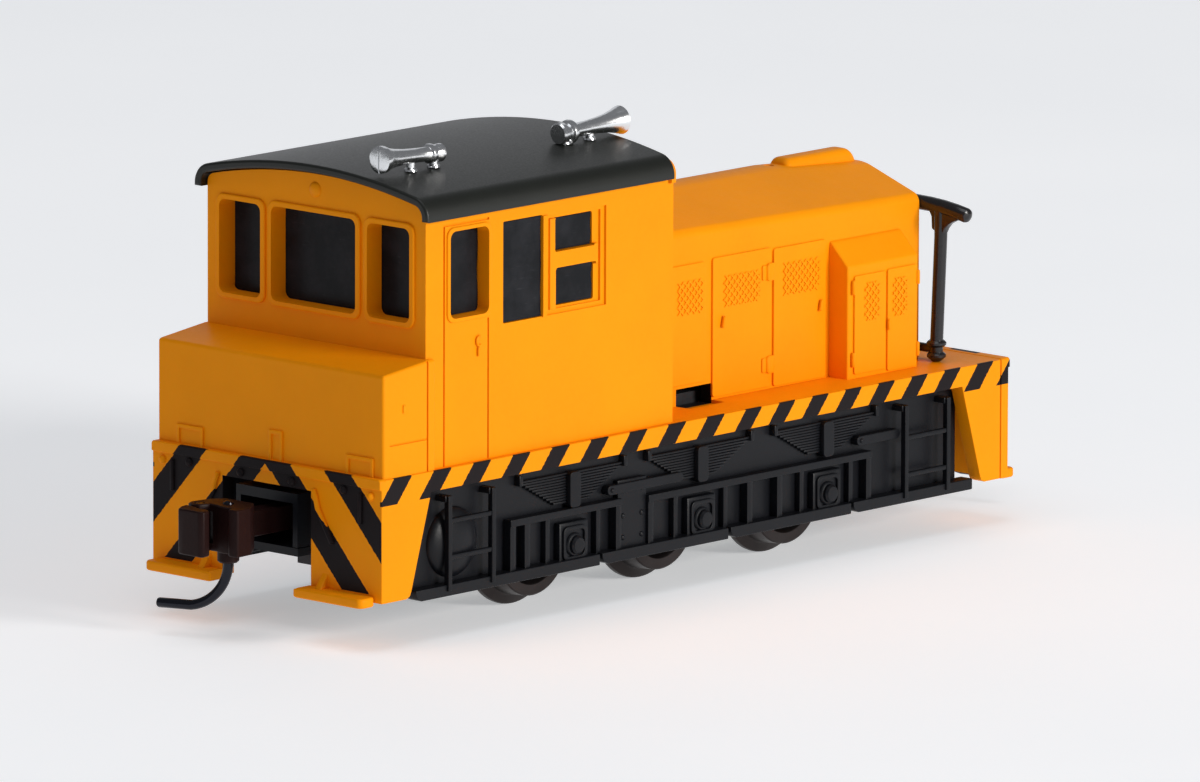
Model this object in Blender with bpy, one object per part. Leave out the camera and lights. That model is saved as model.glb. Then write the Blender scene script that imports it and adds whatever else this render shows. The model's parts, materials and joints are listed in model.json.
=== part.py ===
"""N gauge model of a three-axle diesel switcher: moulded body, roof, glazing, side frames, split chassis,
motor, worm drive, wheelsets and sprung knuckle couplers.

Everything is drawn in millimetres and scaled to metres at the end. X runs along the locomotive, with the long
hood and the handrail at +X and the cab at -X, Y runs to its left, and heights are measured from the rail top.
The origin of the finished model is under its centre, level with the bottoms of the wheel flanges.
"""

import math

import bmesh
import bpy
from mathutils import Matrix, Vector

MM = 0.001
GAP = 0.06  # between pieces that rest on each other
FIT = 0.05  # radial clearance of a shaft in its hole

# Track and wheels
FLANGE_DEPTH = 0.60
TREAD_R = 2.85
FLANGE_R = TREAD_R + FLANGE_DEPTH
WHEEL_BACK = 3.80
FLANGE_WIDTH = 0.45
WHEEL_FACE = 5.75
AXLE_R = 0.75
AXLE_TIP_R = 0.50
AXLE_HEIGHT = TREAD_R
AXLE_PITCH = 10.30
MIDDLE_AXLE_X = 0.00
AXLES = {
    "rear": MIDDLE_AXLE_X - AXLE_PITCH,
    "middle": MIDDLE_AXLE_X,
    "front": MIDDLE_AXLE_X + AXLE_PITCH,
}

# Gears: the worm turns the transfer gear, which drives the rear idler and through it all three axles.
MODULE = 0.30
AXLE_TEETH = 16
IDLER_TEETH = 20
TRANSFER_TEETH = 14
CENTRE_SLACK = 0.05
GEAR_HALF_WIDTH = 0.75
GEAR_STUB_R = 0.50
WORM_PITCH_R = 1.40
WORM_TURNS = 3.6


def mesh_distance(teeth_a, teeth_b):
    return MODULE * (teeth_a + teeth_b) / 2 + CENTRE_SLACK


IDLER_RISE = math.sqrt(mesh_distance(AXLE_TEETH, IDLER_TEETH) ** 2 - (AXLE_PITCH / 2) ** 2)
IDLER_HEIGHT = AXLE_HEIGHT + IDLER_RISE
IDLERS = {"rear": MIDDLE_AXLE_X - AXLE_PITCH / 2, "front": MIDDLE_AXLE_X + AXLE_PITCH / 2}
TRANSFER_X = IDLERS["rear"]
TRANSFER_HEIGHT = IDLER_HEIGHT + mesh_distance(IDLER_TEETH, TRANSFER_TEETH)
SHAFT_HEIGHT = TRANSFER_HEIGHT + MODULE * TRANSFER_TEETH / 2 + WORM_PITCH_R + CENTRE_SLACK
SHAFT_R = 0.50

# Body
REAR_END = -25.45
FRONT_END = 25.70
HALF_WIDTH = 8.60
DECK_TOP = 8.86
DECK_BOTTOM = 7.73
SKIRT_BOTTOM = 2.09
SKIRT_WALL = 0.90
SKIRT_FOOT = 2.35  # distances in from the end plate
SKIRT_SILL = 4.00
END_WALL = 1.00
CAB_REAR = -21.45
CAB_FRONT = -1.75
CAB_HALF = 8.17
CAB_WALL = 1.00
CAB_SIDE_TOP = 22.42
CAB_CEILING = 22.25
GABLE_PROUD = 0.01  # how far the strip under the roof's front edge stands out
WINDOW_SILL = 15.60
REAR_HOOD_X = -25.05
REAR_HOOD_HALF = 8.47
REAR_HOOD_TOP = (14.52, 14.94)
HOOD_FRONT = 21.85
HOOD_HALF = 5.20
HOOD_WALL = 0.80
# Sections of the hood as (x, height of the shoulder, height of the crown, half width of the crown)
HOOD_SECTIONS = ((-2.05, 18.64, 20.14, 0.55), (14.60, 18.31, 20.12, 0.60), (HOOD_FRONT, 18.17, 19.60, 1.10))
CABINET_X = (14.30, 20.15)
CABINET_HALF = 6.60
CABINET_TOP = (15.20, 16.48)
VENT_BOX_X = (15.75, 21.80)
VENT_BOX_HALF = 0.75
VENT_BOX_TOP = 20.40
VENT_BOX_NOSE_R = 0.95
COUPLER_OPENING_HALF = 3.30
COUPLER_OPENING_TOP = 7.60
STEP_OUT = 1.05
STEP_Y = (2.90, 8.15)
STEP_TOP = 2.45
STEP_BOTTOM = 1.90
CHASSIS_HATCH = (1.75, 4.65, 9.80)

# Cab roof
ROOF_HALF = 8.75
ROOF_REAR = -21.95
ROOF_FRONT = -2.20
ROOF_EAVE = 22.50
ROOF_CROWN = 24.69
ROOF_SKIN = 0.48
ROOF_SHOULDER_R = 1.15
ROOF_SAG = 0.85
HORN_Y = -4.35

# Windows as (low, high) along the wall and in height
DOOR_WINDOW = (-19.59, -16.55, 16.88, 21.67)
FLUSH_WINDOWS = (
    (-15.35, -12.25, 16.10, 21.70),
    (-11.15, -8.15, 19.55, 21.30),
    (-11.05, -8.05, 16.60, 18.50),
)
PANE_DEPTH = 0.16  # how far a flush pane stands back from the cab wall
REAR_WINDOWS = ((-7.10, -3.95, 16.78, 21.95), (-3.08, 3.24, 16.78, 22.00), (4.05, 7.15, 16.78, 21.95))
FRONT_WINDOWS = ((-7.30, -5.70, 16.90, 21.80), (5.70, 7.30, 16.90, 21.80))

# Side frames
FRAME_BACK = 7.00
FRAME_PLATE = 7.55
FRAME_FACE = 8.15
FRAME_OUTER = 8.45
JOURNALS = (-9.45, 0.85, 11.15)
JOURNAL_HEIGHT = 3.10
TANK_X = -18.90

# Motor
MOTOR_X = (0.00, 12.00)
MOTOR_HALF_WIDTH = 3.70
MOTOR_HALF_HEIGHT = 4.00
MOTOR_WALL = 0.40
END_CAP_X = (MOTOR_X[1] + GAP, 13.60)
ARMATURE_X = (2.50, 8.60)
ARMATURE_R = 2.45
COMMUTATOR_X = (9.50, 11.20)
COMMUTATOR_R = 1.00
SHAFT_X = (-9.20, 13.30)

# Chassis
MOTOR_FLOOR = 9.25
SCREWS = {"rear": -15.90, "front": 15.90}
SCREW_HEIGHT = 5.00

# Couplers, in a frame that points out of the locomotive from the pivot
PIVOT_X = 22.25
COUPLER_LOW = 4.35
COUPLER_HIGH = 6.95
COUPLER_MIDDLE = (COUPLER_LOW + COUPLER_HIGH) / 2
COUPLER_FACE = 8.90
KNUCKLE_PIVOT = (7.10, -1.15)
TRIP_PIN_AT = (6.25, 0.20)
TRIP_BOSS_R = 0.60
TRIP_BEND_TOP = 3.75
TRIP_BEND_R = 2.60
TRIP_TIP = 2.15
BOX_OUT = 3.05
BOX_BACK = -2.30
BOX_HALF = 2.30

ROUND = 20
FINE_ANGLE = math.radians(35)

PAINTS = {
    "body_orange": ((0.90, 0.36, 0.01), 0.45, 0.0),
    "roof_black": ((0.022, 0.024, 0.020), 0.42, 0.0),
    "smoked_glazing": ((0.02, 0.022, 0.028), 0.18, 0.0),
    "plated_horn": ((0.72, 0.73, 0.75), 0.25, 1.0),
    "gloss_black": ((0.012, 0.011, 0.012), 0.22, 0.0),
    "frame_black": ((0.018, 0.020, 0.024), 0.50, 0.0),
    "chassis_zinc": ((0.05, 0.05, 0.055), 0.45, 0.9),
    "wheel_metal": ((0.10, 0.07, 0.06), 0.38, 1.0),
    "motor_steel": ((0.55, 0.56, 0.58), 0.30, 1.0),
    "magnet": ((0.06, 0.06, 0.065), 0.60, 0.0),
    "carbon": ((0.02, 0.02, 0.02), 0.70, 0.0),
    "brass": ((0.70, 0.50, 0.18), 0.30, 1.0),
    "gear_nylon": ((0.75, 0.73, 0.66), 0.45, 0.0),
    "insulator": ((0.70, 0.68, 0.60), 0.50, 0.0),
    "coupler_brown": ((0.055, 0.022, 0.016), 0.42, 0.0),
    "blued_steel": ((0.012, 0.014, 0.022), 0.20, 0.9),
    "screw_steel": ((0.50, 0.50, 0.52), 0.30, 1.0),
}


# ---------------------------------------------------------------- scene and objects


def clear_scene():
    for obj in list(bpy.data.objects):
        bpy.data.objects.remove(obj, do_unlink=True)


def rail_top_frame():
    """The empty that holds every piece: its height zero is the rail top."""
    empty = bpy.data.objects.new("rail_top", None)
    empty.location = (0, 0, FLANGE_DEPTH * MM)
    bpy.context.scene.collection.objects.link(empty)
    return empty


def paint(name):
    material = bpy.data.materials.get(name)
    if material:
        return material
    colour, roughness, metallic = PAINTS[name]
    material = bpy.data.materials.new(name)
    material.use_nodes = True
    shader = material.node_tree.nodes["Principled BSDF"]
    shader.inputs["Base Color"].default_value = (*colour, 1)
    shader.inputs["Roughness"].default_value = roughness
    shader.inputs["Metallic"].default_value = metallic
    return material


def mesh_object(name, shape):
    """An object, still in millimetres, from a bmesh."""
    bmesh.ops.recalc_face_normals(shape, faces=shape.faces)
    mesh = bpy.data.meshes.new(name)
    shape.to_mesh(mesh)
    shape.free()
    obj = bpy.data.objects.new(name, mesh)
    bpy.context.scene.collection.objects.link(obj)
    return obj


def combine(name, operation, obj, shapes):
    """Joins or cuts a list of bmesh shapes with an object in one exact Boolean."""
    tool = mesh_object(name + "_tool", merged(shapes))
    modifier = obj.modifiers.new(operation.lower(), "BOOLEAN")
    modifier.operation = operation
    modifier.solver = "EXACT"
    modifier.use_self = True
    modifier.object = tool
    graph = bpy.context.evaluated_depsgraph_get()
    result = bpy.data.meshes.new_from_object(obj.evaluated_get(graph))
    obj.modifiers.clear()
    old = obj.data
    obj.data = result
    bpy.data.meshes.remove(old)
    spent = tool.data
    bpy.data.objects.remove(tool)
    bpy.data.meshes.remove(spent)


def piece(name, paint_name, solids, cuts=(), origin=(0, 0, 0), turn=None):
    """One named piece: the union of the solids less the cuts, held by the rail top frame."""
    obj = mesh_object(name, solids[0])
    if len(solids) > 1:
        combine(name, "UNION", obj, solids[1:])
    if cuts:
        combine(name, "DIFFERENCE", obj, cuts)
    mesh = obj.data
    if turn is not None:
        mesh.transform(turn)
    mesh.transform(Matrix.Translation(-Vector(origin)))
    mesh.transform(Matrix.Scale(MM, 4))
    mesh.name = name
    obj.location = Vector(origin) * MM
    obj.parent = bpy.data.objects["rail_top"]
    mesh.materials.clear()
    mesh.materials.append(paint(paint_name))
    mesh.shade_smooth()
    mesh.set_sharp_from_angle(angle=FINE_ANGLE)
    return obj


# ---------------------------------------------------------------- shapes, all in millimetres


def merged(shapes):
    """One bmesh that holds copies of several."""
    whole = bmesh.new()
    for shape in shapes:
        bmesh.ops.recalc_face_normals(shape, faces=shape.faces)
        mesh = bpy.data.meshes.new("part")
        shape.to_mesh(mesh)
        shape.free()
        whole.from_mesh(mesh)
        bpy.data.meshes.remove(mesh)
    return whole


def block(x, y, z):
    """A box from its (low, high) pairs."""
    shape = bmesh.new()
    bmesh.ops.create_cube(shape, size=1)
    for vert in shape.verts:
        vert.co = [pair[0] if side < 0 else pair[1] for side, pair in zip(vert.co, (x, y, z))]
    return shape


def prism(outline, axis, low, high):
    """An outline of (a, b) points pushed along an axis. The points are (y, z), (x, z) or (x, y)."""
    order = {"x": (2, 0, 1), "y": (0, 2, 1), "z": (0, 1, 2)}[axis]
    shape = bmesh.new()
    base = []
    for a, b in outline:
        values = (a, b, low)
        base.append(shape.verts.new([values[i] for i in order]))
    face = shape.faces.new(base)
    grown = bmesh.ops.extrude_face_region(shape, geom=[face])["geom"]
    push = Vector([(0, 0, high - low)[i] for i in order])
    bmesh.ops.translate(shape, vec=push, verts=[v for v in grown if isinstance(v, bmesh.types.BMVert)])
    return shape


def loft(sections):
    """A closed body through outlines that have the same number of points."""
    shape = bmesh.new()
    rings = [[shape.verts.new(point) for point in section] for section in sections]
    for ring, following in zip(rings, rings[1:]):
        for i in range(len(ring)):
            j = (i + 1) % len(ring)
            shape.faces.new((ring[i], ring[j], following[j], following[i]))
    shape.faces.new(rings[0])
    shape.faces.new(rings[-1])
    return shape


def turned(profile, axis, centre, steps=ROUND):
    """A profile of (distance along the axis, radius) points turned about an axis through the centre."""
    shape = bmesh.new()
    around = {"x": (0, 1, 2), "y": (1, 2, 0), "z": (2, 0, 1)}[axis]
    rings = []
    for along, radius in profile:
        ring = []
        for step in range(steps if radius > 0 else 1):
            angle = math.tau * step / steps
            point = [0, 0, 0]
            point[around[0]] = along
            point[around[1]] = radius * math.cos(angle)
            point[around[2]] = radius * math.sin(angle)
            ring.append(shape.verts.new(Vector(point) + Vector(centre)))
        rings.append(ring)
    for ring, following in zip(rings, rings[1:]):
        for i in range(steps):
            corners = [ring[i % len(ring)], ring[(i + 1) % len(ring)]]
            corners += [following[(i + 1) % len(following)], following[i % len(following)]]
            unique = list(dict.fromkeys(corners))
            shape.faces.new(unique)
    for ring in (rings[0], rings[-1]):
        if len(ring) > 1:
            shape.faces.new(ring)
    return shape


def rod(axis, centre, radius, low, high, steps=ROUND):
    return turned(((low, radius), (high, radius)), axis, centre, steps)


def pipe(route, radius, sides=10):
    """A round rod along a list of points, with flat ends."""
    points = [Vector(point) for point in route]
    shape = bmesh.new()
    side = Vector((0, 1, 0)).cross(points[1] - points[0])
    if side.length < 1e-6:
        side = Vector((1, 0, 0))
    rings = []
    for i, point in enumerate(points):
        ahead = points[min(i + 1, len(points) - 1)] - points[max(i - 1, 0)]
        ahead.normalize()
        side = (side - ahead * side.dot(ahead)).normalized()
        other = ahead.cross(side)
        ring = []
        for step in range(sides):
            angle = math.tau * step / sides
            ring.append(shape.verts.new(point + (side * math.cos(angle) + other * math.sin(angle)) * radius))
        rings.append(ring)
    for ring, following in zip(rings, rings[1:]):
        for i in range(sides):
            j = (i + 1) % sides
            shape.faces.new((ring[i], ring[j], following[j], following[i]))
    shape.faces.new(rings[0])
    shape.faces.new(rings[-1])
    return shape


def rounded(low_a, high_a, low_b, high_b, radius, steps=3):
    """The outline of a rectangle with round corners."""
    centres = (
        (high_a - radius, high_b - radius, 0),
        (low_a + radius, high_b - radius, 1),
        (low_a + radius, low_b + radius, 2),
        (high_a - radius, low_b + radius, 3),
    )
    outline = []
    for a, b, quarter in centres:
        for step in range(steps + 1):
            angle = (quarter + step / steps) * math.pi / 2
            outline.append((a + radius * math.cos(angle), b + radius * math.sin(angle)))
    return outline


# ---------------------------------------------------------------- body


def roof_outline(inset, eave):
    """The cross-section of the roof, or one inset from it: eaves, round shoulders and a shallow arch."""
    half = ROOF_HALF - inset
    crown = ROOF_CROWN - inset
    radius = ROOF_SHOULDER_R - inset
    shoulder = crown - ROOF_SAG
    right = [(half, eave)]
    for step in range(4):
        angle = step / 3 * math.radians(78)
        right.append((half - radius * (1 - math.cos(angle)), shoulder - radius * (1 - math.sin(angle))))
    edge, edge_height = right[-1]
    for step in range(1, 4):
        across = edge * (1 - step / 4)
        right.append((across, crown - (crown - edge_height) * (across / edge) ** 2))
    left = [(-across, height) for across, height in reversed(right)]
    return [*right, (0, crown), *left]


def hood():
    """The long hood: upright sides, slopes and a narrow crown that dips towards the front."""
    sections = []
    for x, shoulder, crown, crown_half in HOOD_SECTIONS:
        outline = (
            (-HOOD_HALF, DECK_BOTTOM + 0.3),
            (HOOD_HALF, DECK_BOTTOM + 0.3),
            (HOOD_HALF, shoulder),
            (crown_half, crown),
            (-crown_half, crown),
            (-HOOD_HALF, shoulder),
        )
        sections.append([(x, y, z) for y, z in outline])
    shape = loft(sections)
    bmesh.ops.triangulate(shape, faces=shape.faces)
    return shape


def vent_box():
    """The raised box on the hood: square at its rear, with a rounded front."""
    radius = VENT_BOX_NOSE_R
    low, high = VENT_BOX_X
    foot = HOOD_SECTIONS[-1][2] - 0.5
    outline = [(low, foot), (high, foot)]
    for step in range(5):
        angle = step / 4 * math.pi / 2
        x = high - radius * (1 - math.cos(angle))
        outline.append((x, VENT_BOX_TOP - radius * (1 - math.sin(angle))))
    outline.append((low, VENT_BOX_TOP))
    return prism(outline, "y", -VENT_BOX_HALF, VENT_BOX_HALF)


def skirts(low, high):
    """The corner skirts of one side: each leans in from the end plate's foot to the sill."""
    top = DECK_BOTTOM + 0.2
    shapes = []
    for plate, inward in ((REAR_END, 1), (FRONT_END, -1)):
        foot = plate + inward * SKIRT_FOOT
        sill = plate + inward * SKIRT_SILL
        outline = [(plate, SKIRT_BOTTOM), (foot, SKIRT_BOTTOM), (sill, top), (plate, top)]
        shapes.append(prism(outline, "y", low, high))
    return shapes


def body_solids():
    high_rear, high_cab = REAR_HOOD_TOP
    rear_hood = (
        (REAR_HOOD_X, DECK_BOTTOM + 0.3),
        (CAB_REAR + 0.5, DECK_BOTTOM + 0.3),
        (CAB_REAR + 0.5, high_cab),
        (CAB_REAR, high_cab),
        (REAR_HOOD_X, high_rear),
    )
    under_roof = roof_outline(ROOF_HALF - CAB_HALF, CAB_SIDE_TOP)
    cab = [(-CAB_HALF, DECK_BOTTOM + 0.3), (CAB_HALF, DECK_BOTTOM + 0.3), *under_roof]
    gable = roof_outline(0.35, ROOF_EAVE - 0.3)
    width = (-HALF_WIDTH, HALF_WIDTH)
    solids = [
        block((REAR_END, FRONT_END), width, (DECK_BOTTOM, DECK_TOP)),
        block((REAR_END, REAR_END + END_WALL), width, (SKIRT_BOTTOM, DECK_BOTTOM + 0.2)),
        block((FRONT_END - END_WALL, FRONT_END), width, (SKIRT_BOTTOM, DECK_BOTTOM + 0.2)),
        prism(rear_hood, "y", -REAR_HOOD_HALF, REAR_HOOD_HALF),
        prism(cab, "x", CAB_REAR, CAB_FRONT),
        prism(gable, "x", ROOF_FRONT + GAP, CAB_FRONT + GABLE_PROUD),
        hood(),
        vent_box(),
    ]
    solids += skirts(HALF_WIDTH - SKIRT_WALL, HALF_WIDTH)
    solids += skirts(-HALF_WIDTH, -HALF_WIDTH + SKIRT_WALL)
    for reach in ((REAR_END - STEP_OUT, REAR_END + 0.2), (FRONT_END - 0.2, FRONT_END + STEP_OUT)):
        for side in (-1, 1):
            solids.append(block(reach, sorted(side * edge for edge in STEP_Y), (STEP_BOTTOM, STEP_TOP)))
    low_top, high_top = CABINET_TOP
    for side in (-1, 1):
        outline = (
            (side * (HOOD_HALF - 0.4), DECK_BOTTOM + 0.3),
            (side * CABINET_HALF, DECK_BOTTOM + 0.3),
            (side * CABINET_HALF, low_top),
            (side * HOOD_HALF, high_top),
            (side * (HOOD_HALF - 0.4), high_top),
        )
        solids.append(prism(outline, "x", *CABINET_X))
    return solids


def window_cuts():
    cuts = []
    for x0, x1, z0, z1 in (DOOR_WINDOW, *FLUSH_WINDOWS):
        cuts.append(prism(rounded(x0, x1, z0, z1, 0.25, 2), "y", -HALF_WIDTH, HALF_WIDTH))
    for y0, y1, z0, z1 in REAR_WINDOWS:
        cuts.append(prism(rounded(y0, y1, z0, z1, 0.35, 2), "x", CAB_REAR - 1, CAB_REAR + 2))
    for y0, y1, z0, z1 in FRONT_WINDOWS:
        cuts.append(prism(rounded(y0, y1, z0, z1, 0.35, 2), "x", CAB_FRONT - 2, CAB_FRONT + 1))
    return cuts


def body_shell():
    below = SKIRT_BOTTOM - 1
    cuts = [
        block((CAB_REAR + CAB_WALL, CAB_FRONT - CAB_WALL), (-7.15, 7.15), (DECK_BOTTOM - 1, CAB_CEILING)),
        block((REAR_HOOD_X + 0.8, CAB_REAR + 2), (-7.15, 7.15), (DECK_BOTTOM - 1, 13.70)),
        block((CAB_FRONT - 2, HOOD_FRONT - HOOD_WALL), (-4.40, 4.40), (DECK_BOTTOM - 1, 17.70)),
    ]
    half = COUPLER_OPENING_HALF
    for reach in ((REAR_END - 1, REAR_END + END_WALL + 1), (FRONT_END - END_WALL - 1, FRONT_END + 1)):
        cuts.append(block(reach, (-half, half), (below, COUPLER_OPENING_TOP)))
    low, high, top = CHASSIS_HATCH
    cuts.append(block((low, high), (-HOOD_HALF - 1, HOOD_HALF + 1), (DECK_TOP - 0.2, top)))
    piece("body_shell", "body_orange", body_solids(), cuts + window_cuts())


def cab_roof():
    outer = prism(roof_outline(0, ROOF_EAVE), "x", ROOF_REAR, ROOF_FRONT)
    inner = prism(roof_outline(ROOF_SKIN, ROOF_EAVE - 0.5), "x", ROOF_REAR - 1, ROOF_FRONT + 1)
    piece("cab_roof", "roof_black", [outer], [inner])


def glazing():
    """Dark inserts behind the windows; those at the sides reach out into three of their four openings."""
    inside = CAB_HALF - CAB_WALL
    sheet = 0.55
    top = CAB_CEILING - 0.12
    z = (WINDOW_SILL, top)
    long_x = (CAB_REAR + CAB_WALL + sheet + 0.3, -7.25)
    for name, side in (("left", 1), ("right", -1)):
        reach = sorted((side * (inside - 0.08), side * (inside - 0.08 - sheet)))
        solids = [block(long_x, reach, z)]
        for x0, x1, z0, z1 in FLUSH_WINDOWS:
            pane = rounded(x0 + GAP, x1 - GAP, z0 + GAP, z1 - GAP, 0.22, 2)
            depth = sorted((side * (inside - 0.2), side * (CAB_HALF - PANE_DEPTH)))
            solids.append(prism(pane, "y", *depth))
        piece(f"glazing_{name}", "smoked_glazing", solids)
    half = inside - 0.08 - sheet - 0.1
    rear = (CAB_REAR + CAB_WALL + GAP, CAB_REAR + CAB_WALL + GAP + sheet)
    piece("glazing_rear", "smoked_glazing", [block(rear, (-inside + 0.06, inside - 0.06), z)])
    front = (CAB_FRONT - CAB_WALL - GAP - sheet, CAB_FRONT - CAB_WALL - GAP)
    bridge = block(front, (-half, half), (20.40, top))
    legs = []
    for side in (-1, 1):
        legs.append(block(front, sorted((side * 5.30, side * (half + 0.35))), (16.40, top)))
    piece("glazing_front", "smoked_glazing", [bridge, *legs])


def horn(name, mouth_x, cap_x, mouth_height, cap_height, y):
    """A trumpet along X on two round feet, with a raised ring near its cap."""
    length = abs(cap_x - mouth_x)
    profile = (
        (0.00, 0.0),
        (0.00, 0.76),
        (0.12, 0.76),
        (0.55, 0.58),
        (1.20, 0.45),
        (2.40, 0.38),
        (length - 1.10, 0.40),
        (length - 1.05, 0.52),
        (length - 0.75, 0.52),
        (length - 0.70, 0.44),
        (length, 0.50),
        (length, 0.0),
    )
    trumpet = turned(profile, "x", (0, 0, 0), 16)
    direction = Vector((cap_x - mouth_x, 0, cap_height - mouth_height)).normalized()
    turn = Vector((1, 0, 0)).rotation_difference(direction).to_matrix().to_4x4()
    bmesh.ops.transform(
        trumpet, matrix=Matrix.Translation((mouth_x, y, mouth_height)) @ turn, verts=trumpet.verts
    )
    feet = []
    toward = math.copysign(1, cap_x - mouth_x)
    for out in (2.50, length - 0.60):
        x = mouth_x + toward * out
        surface = ROOF_CROWN - ROOF_SAG * (y / 7.7) ** 2
        feet.append(rod("z", (x, y, 0), 0.24, surface + GAP, (mouth_height + cap_height) / 2, 12))
    piece(name, "plated_horn", [trumpet, *feet])


def front_handrail():
    """A rail on two posts, with a lower bar, collars at the feet and a gusset outside each post."""
    x = 22.27
    tube = 0.37
    top = 17.66
    post = 6.38
    rail_half = 8.75
    solids = [rod("y", (x, 0, top), tube + 0.03, -rail_half, rail_half, 12)]
    solids.append(rod("y", (x, 0, 9.55), 0.28, -post, post, 12))
    for side in (-1, 1):
        solids.append(rod("z", (x, side * post, 0), tube, DECK_TOP + GAP, top, 12))
        solids.append(rod("z", (x, side * post, 0), tube + 0.14, 9.15, 9.95, 12))
        gusset = ((side * post, 15.90), (side * (post + 1.70), top), (side * post, top))
        solids.append(prism(gusset, "x", x - 0.14, x + 0.14))
    piece("front_handrail", "gloss_black", solids)


# ---------------------------------------------------------------- side frames


def side_frame_solids():
    """One frame drawn on the positive side: plate, bars, springs, axle boxes, ladders and an air tank."""
    back = FRAME_PLATE - 0.1
    solids = [block((-22.50, 22.30), (FRAME_BACK, FRAME_PLATE), (2.00, 7.60))]

    def bar(x0, x1, z0, z1, face=FRAME_FACE):
        solids.append(block((x0, x1), (back, face), (z0, z1)))

    bar(-14.65, -5.75, 4.75, 5.15)
    bar(-3.60, 14.70, 4.62, 5.02)
    for x in (-14.65, -13.50, -6.20, -3.60, 4.45, 6.90, 14.25):
        bar(x, x + 0.45, 2.10, 5.00, FRAME_FACE - 0.05)
    bar(-5.85, -3.55, 2.10, 6.10, 7.90)
    for x0, x1 in ((-6.80, -0.70), (13.55, 17.10)):
        bar(x0, x1, 5.42, 5.92, 8.05)
    for x0, x1 in ((-22.30, -7.70), (-7.50, 2.70), (2.90, 12.80), (13.00, 22.90)):
        bar(x0, x1, 1.72, 2.35, 8.32)
    for x in JOURNALS:
        bar(x - 1.15, x + 1.15, 1.97, 4.37, 8.05)
        bar(x - 2.20, x - 1.85, 2.10, 4.80, 7.92)
        bar(x + 1.85, x + 2.20, 2.10, 4.80, 7.92)
        cap = ((back, 0.80), (8.14, 0.80), (8.14, 0.56), (FRAME_OUTER, 0.50))
        solids.append(turned(cap, "y", (x, 0, JOURNAL_HEIGHT), 10))
        half_spring = ((1.35, 5.55), (4.00, 6.80), (4.20, 7.10))
        spring = [(x - along, z) for along, z in reversed(half_spring)]
        spring += [(x + along, z) for along, z in half_spring]
        solids.append(prism(spring, "y", back, 7.92))
        bar(x - 0.42, x + 0.42, 5.10, 7.20, 8.20)
    for ladder, rungs in (((-19.85, -16.35), (3.70, 5.75)), ((17.25, 20.75), (3.30, 5.40))):
        for x in ladder:
            solids.append(block((x - 0.17, x + 0.17), (8.10, FRAME_OUTER), (2.00, 7.25)))
            bar(x - 0.25, x + 0.25, 6.90, 7.25, 8.30)
        for z in rungs:
            solids.append(block(ladder, (8.14, 8.40), (z - 0.13, z + 0.13)))
    dome = ((back, 1.75), (7.70, 1.75), (7.95, 1.10), (8.06, 0.0))
    solids.append(turned(dome, "y", (TANK_X, 0, 4.55), 16))
    return solids


def side_frames():
    for name, side in (("left", 1), ("right", -1)):
        turn = None if side > 0 else Matrix.Scale(-1, 4, (0, 1, 0))
        frame = piece(f"side_frame_{name}", "frame_black", side_frame_solids(), turn=turn)
        if side < 0:
            frame.data.flip_normals()


# ---------------------------------------------------------------- chassis


def chassis_half(name, side):
    inner = 0.40

    def slab(x, y, z):
        return block(x, sorted((side * y[0], side * y[1])), z)

    solids = [
        slab((-19.40, 19.40), (inner, 3.35), (1.95, 7.66)),
        slab((-19.40, 19.40), (3.25, 6.90), (6.75, 7.66)),
        slab((-19.40, -9.50), (inner, 6.60), (7.50, 13.50)),
        slab((-9.60, -7.60), (inner, 3.60), (7.50, 15.40)),
        slab((-7.70, -2.20), (inner, 4.10), (7.50, 10.80)),
        slab((-2.30, 14.50), (inner, 4.10), (7.50, MOTOR_FLOOR)),
        slab((14.40, 20.80), (inner, 4.10), (7.50, 15.60)),
    ]
    slot = GEAR_HALF_WIDTH + 0.20
    cuts = [slab((TRANSFER_X - 2.50, TRANSFER_X + 2.50), (0, slot), (6.50, 12))]
    for x in AXLES.values():
        cuts.append(slab((x - 3.10, x + 3.10), (0, slot), (1, 6.30)))
        cuts.append(slab((x - 1.30, x + 1.30), (0, 1.80), (1, AXLE_HEIGHT + 1.30)))
        cuts.append(slab((x - AXLE_R - FIT, x + AXLE_R + FIT), (0, 4), (1, AXLE_HEIGHT)))
        cuts.append(rod("y", (x, 0, AXLE_HEIGHT), AXLE_R + FIT, *sorted((0, side * 4)), 16))
    stubs = [(x, IDLER_HEIGHT) for x in IDLERS.values()]
    for x, z in stubs:
        cuts.append(slab((x - 3.50, x + 3.50), (0, slot), (1, 8.35)))
    for x, z in [*stubs, (TRANSFER_X, TRANSFER_HEIGHT)]:
        cuts.append(rod("y", (x, 0, z), GEAR_STUB_R + FIT, *sorted((0, side * 2.40)), 14))
    cuts.append(rod("x", (0, 0, SHAFT_HEIGHT), 1.36, -8.60, -7.0, 16))
    cuts.append(rod("x", (0, 0, SHAFT_HEIGHT), SHAFT_R + 0.3, -10.60, -8.50, 14))
    cuts.append(slab((-10.60, -9.25), (0, 1.2), (12, 16)))
    for x in SCREWS.values():
        cuts.append(rod("y", (x, 0, SCREW_HEIGHT), 0.66, *sorted((0, side * 4)), 14))
        cuts.append(rod("y", (x, 0, SCREW_HEIGHT), 1.20, *sorted((side * 2.60, side * 4)), 14))
        cuts.append(rod("y", (x, 0, SCREW_HEIGHT), 1.30, *sorted((0, side * 0.75)), 14))
    piece(name, "chassis_zinc", solids, cuts)


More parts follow.
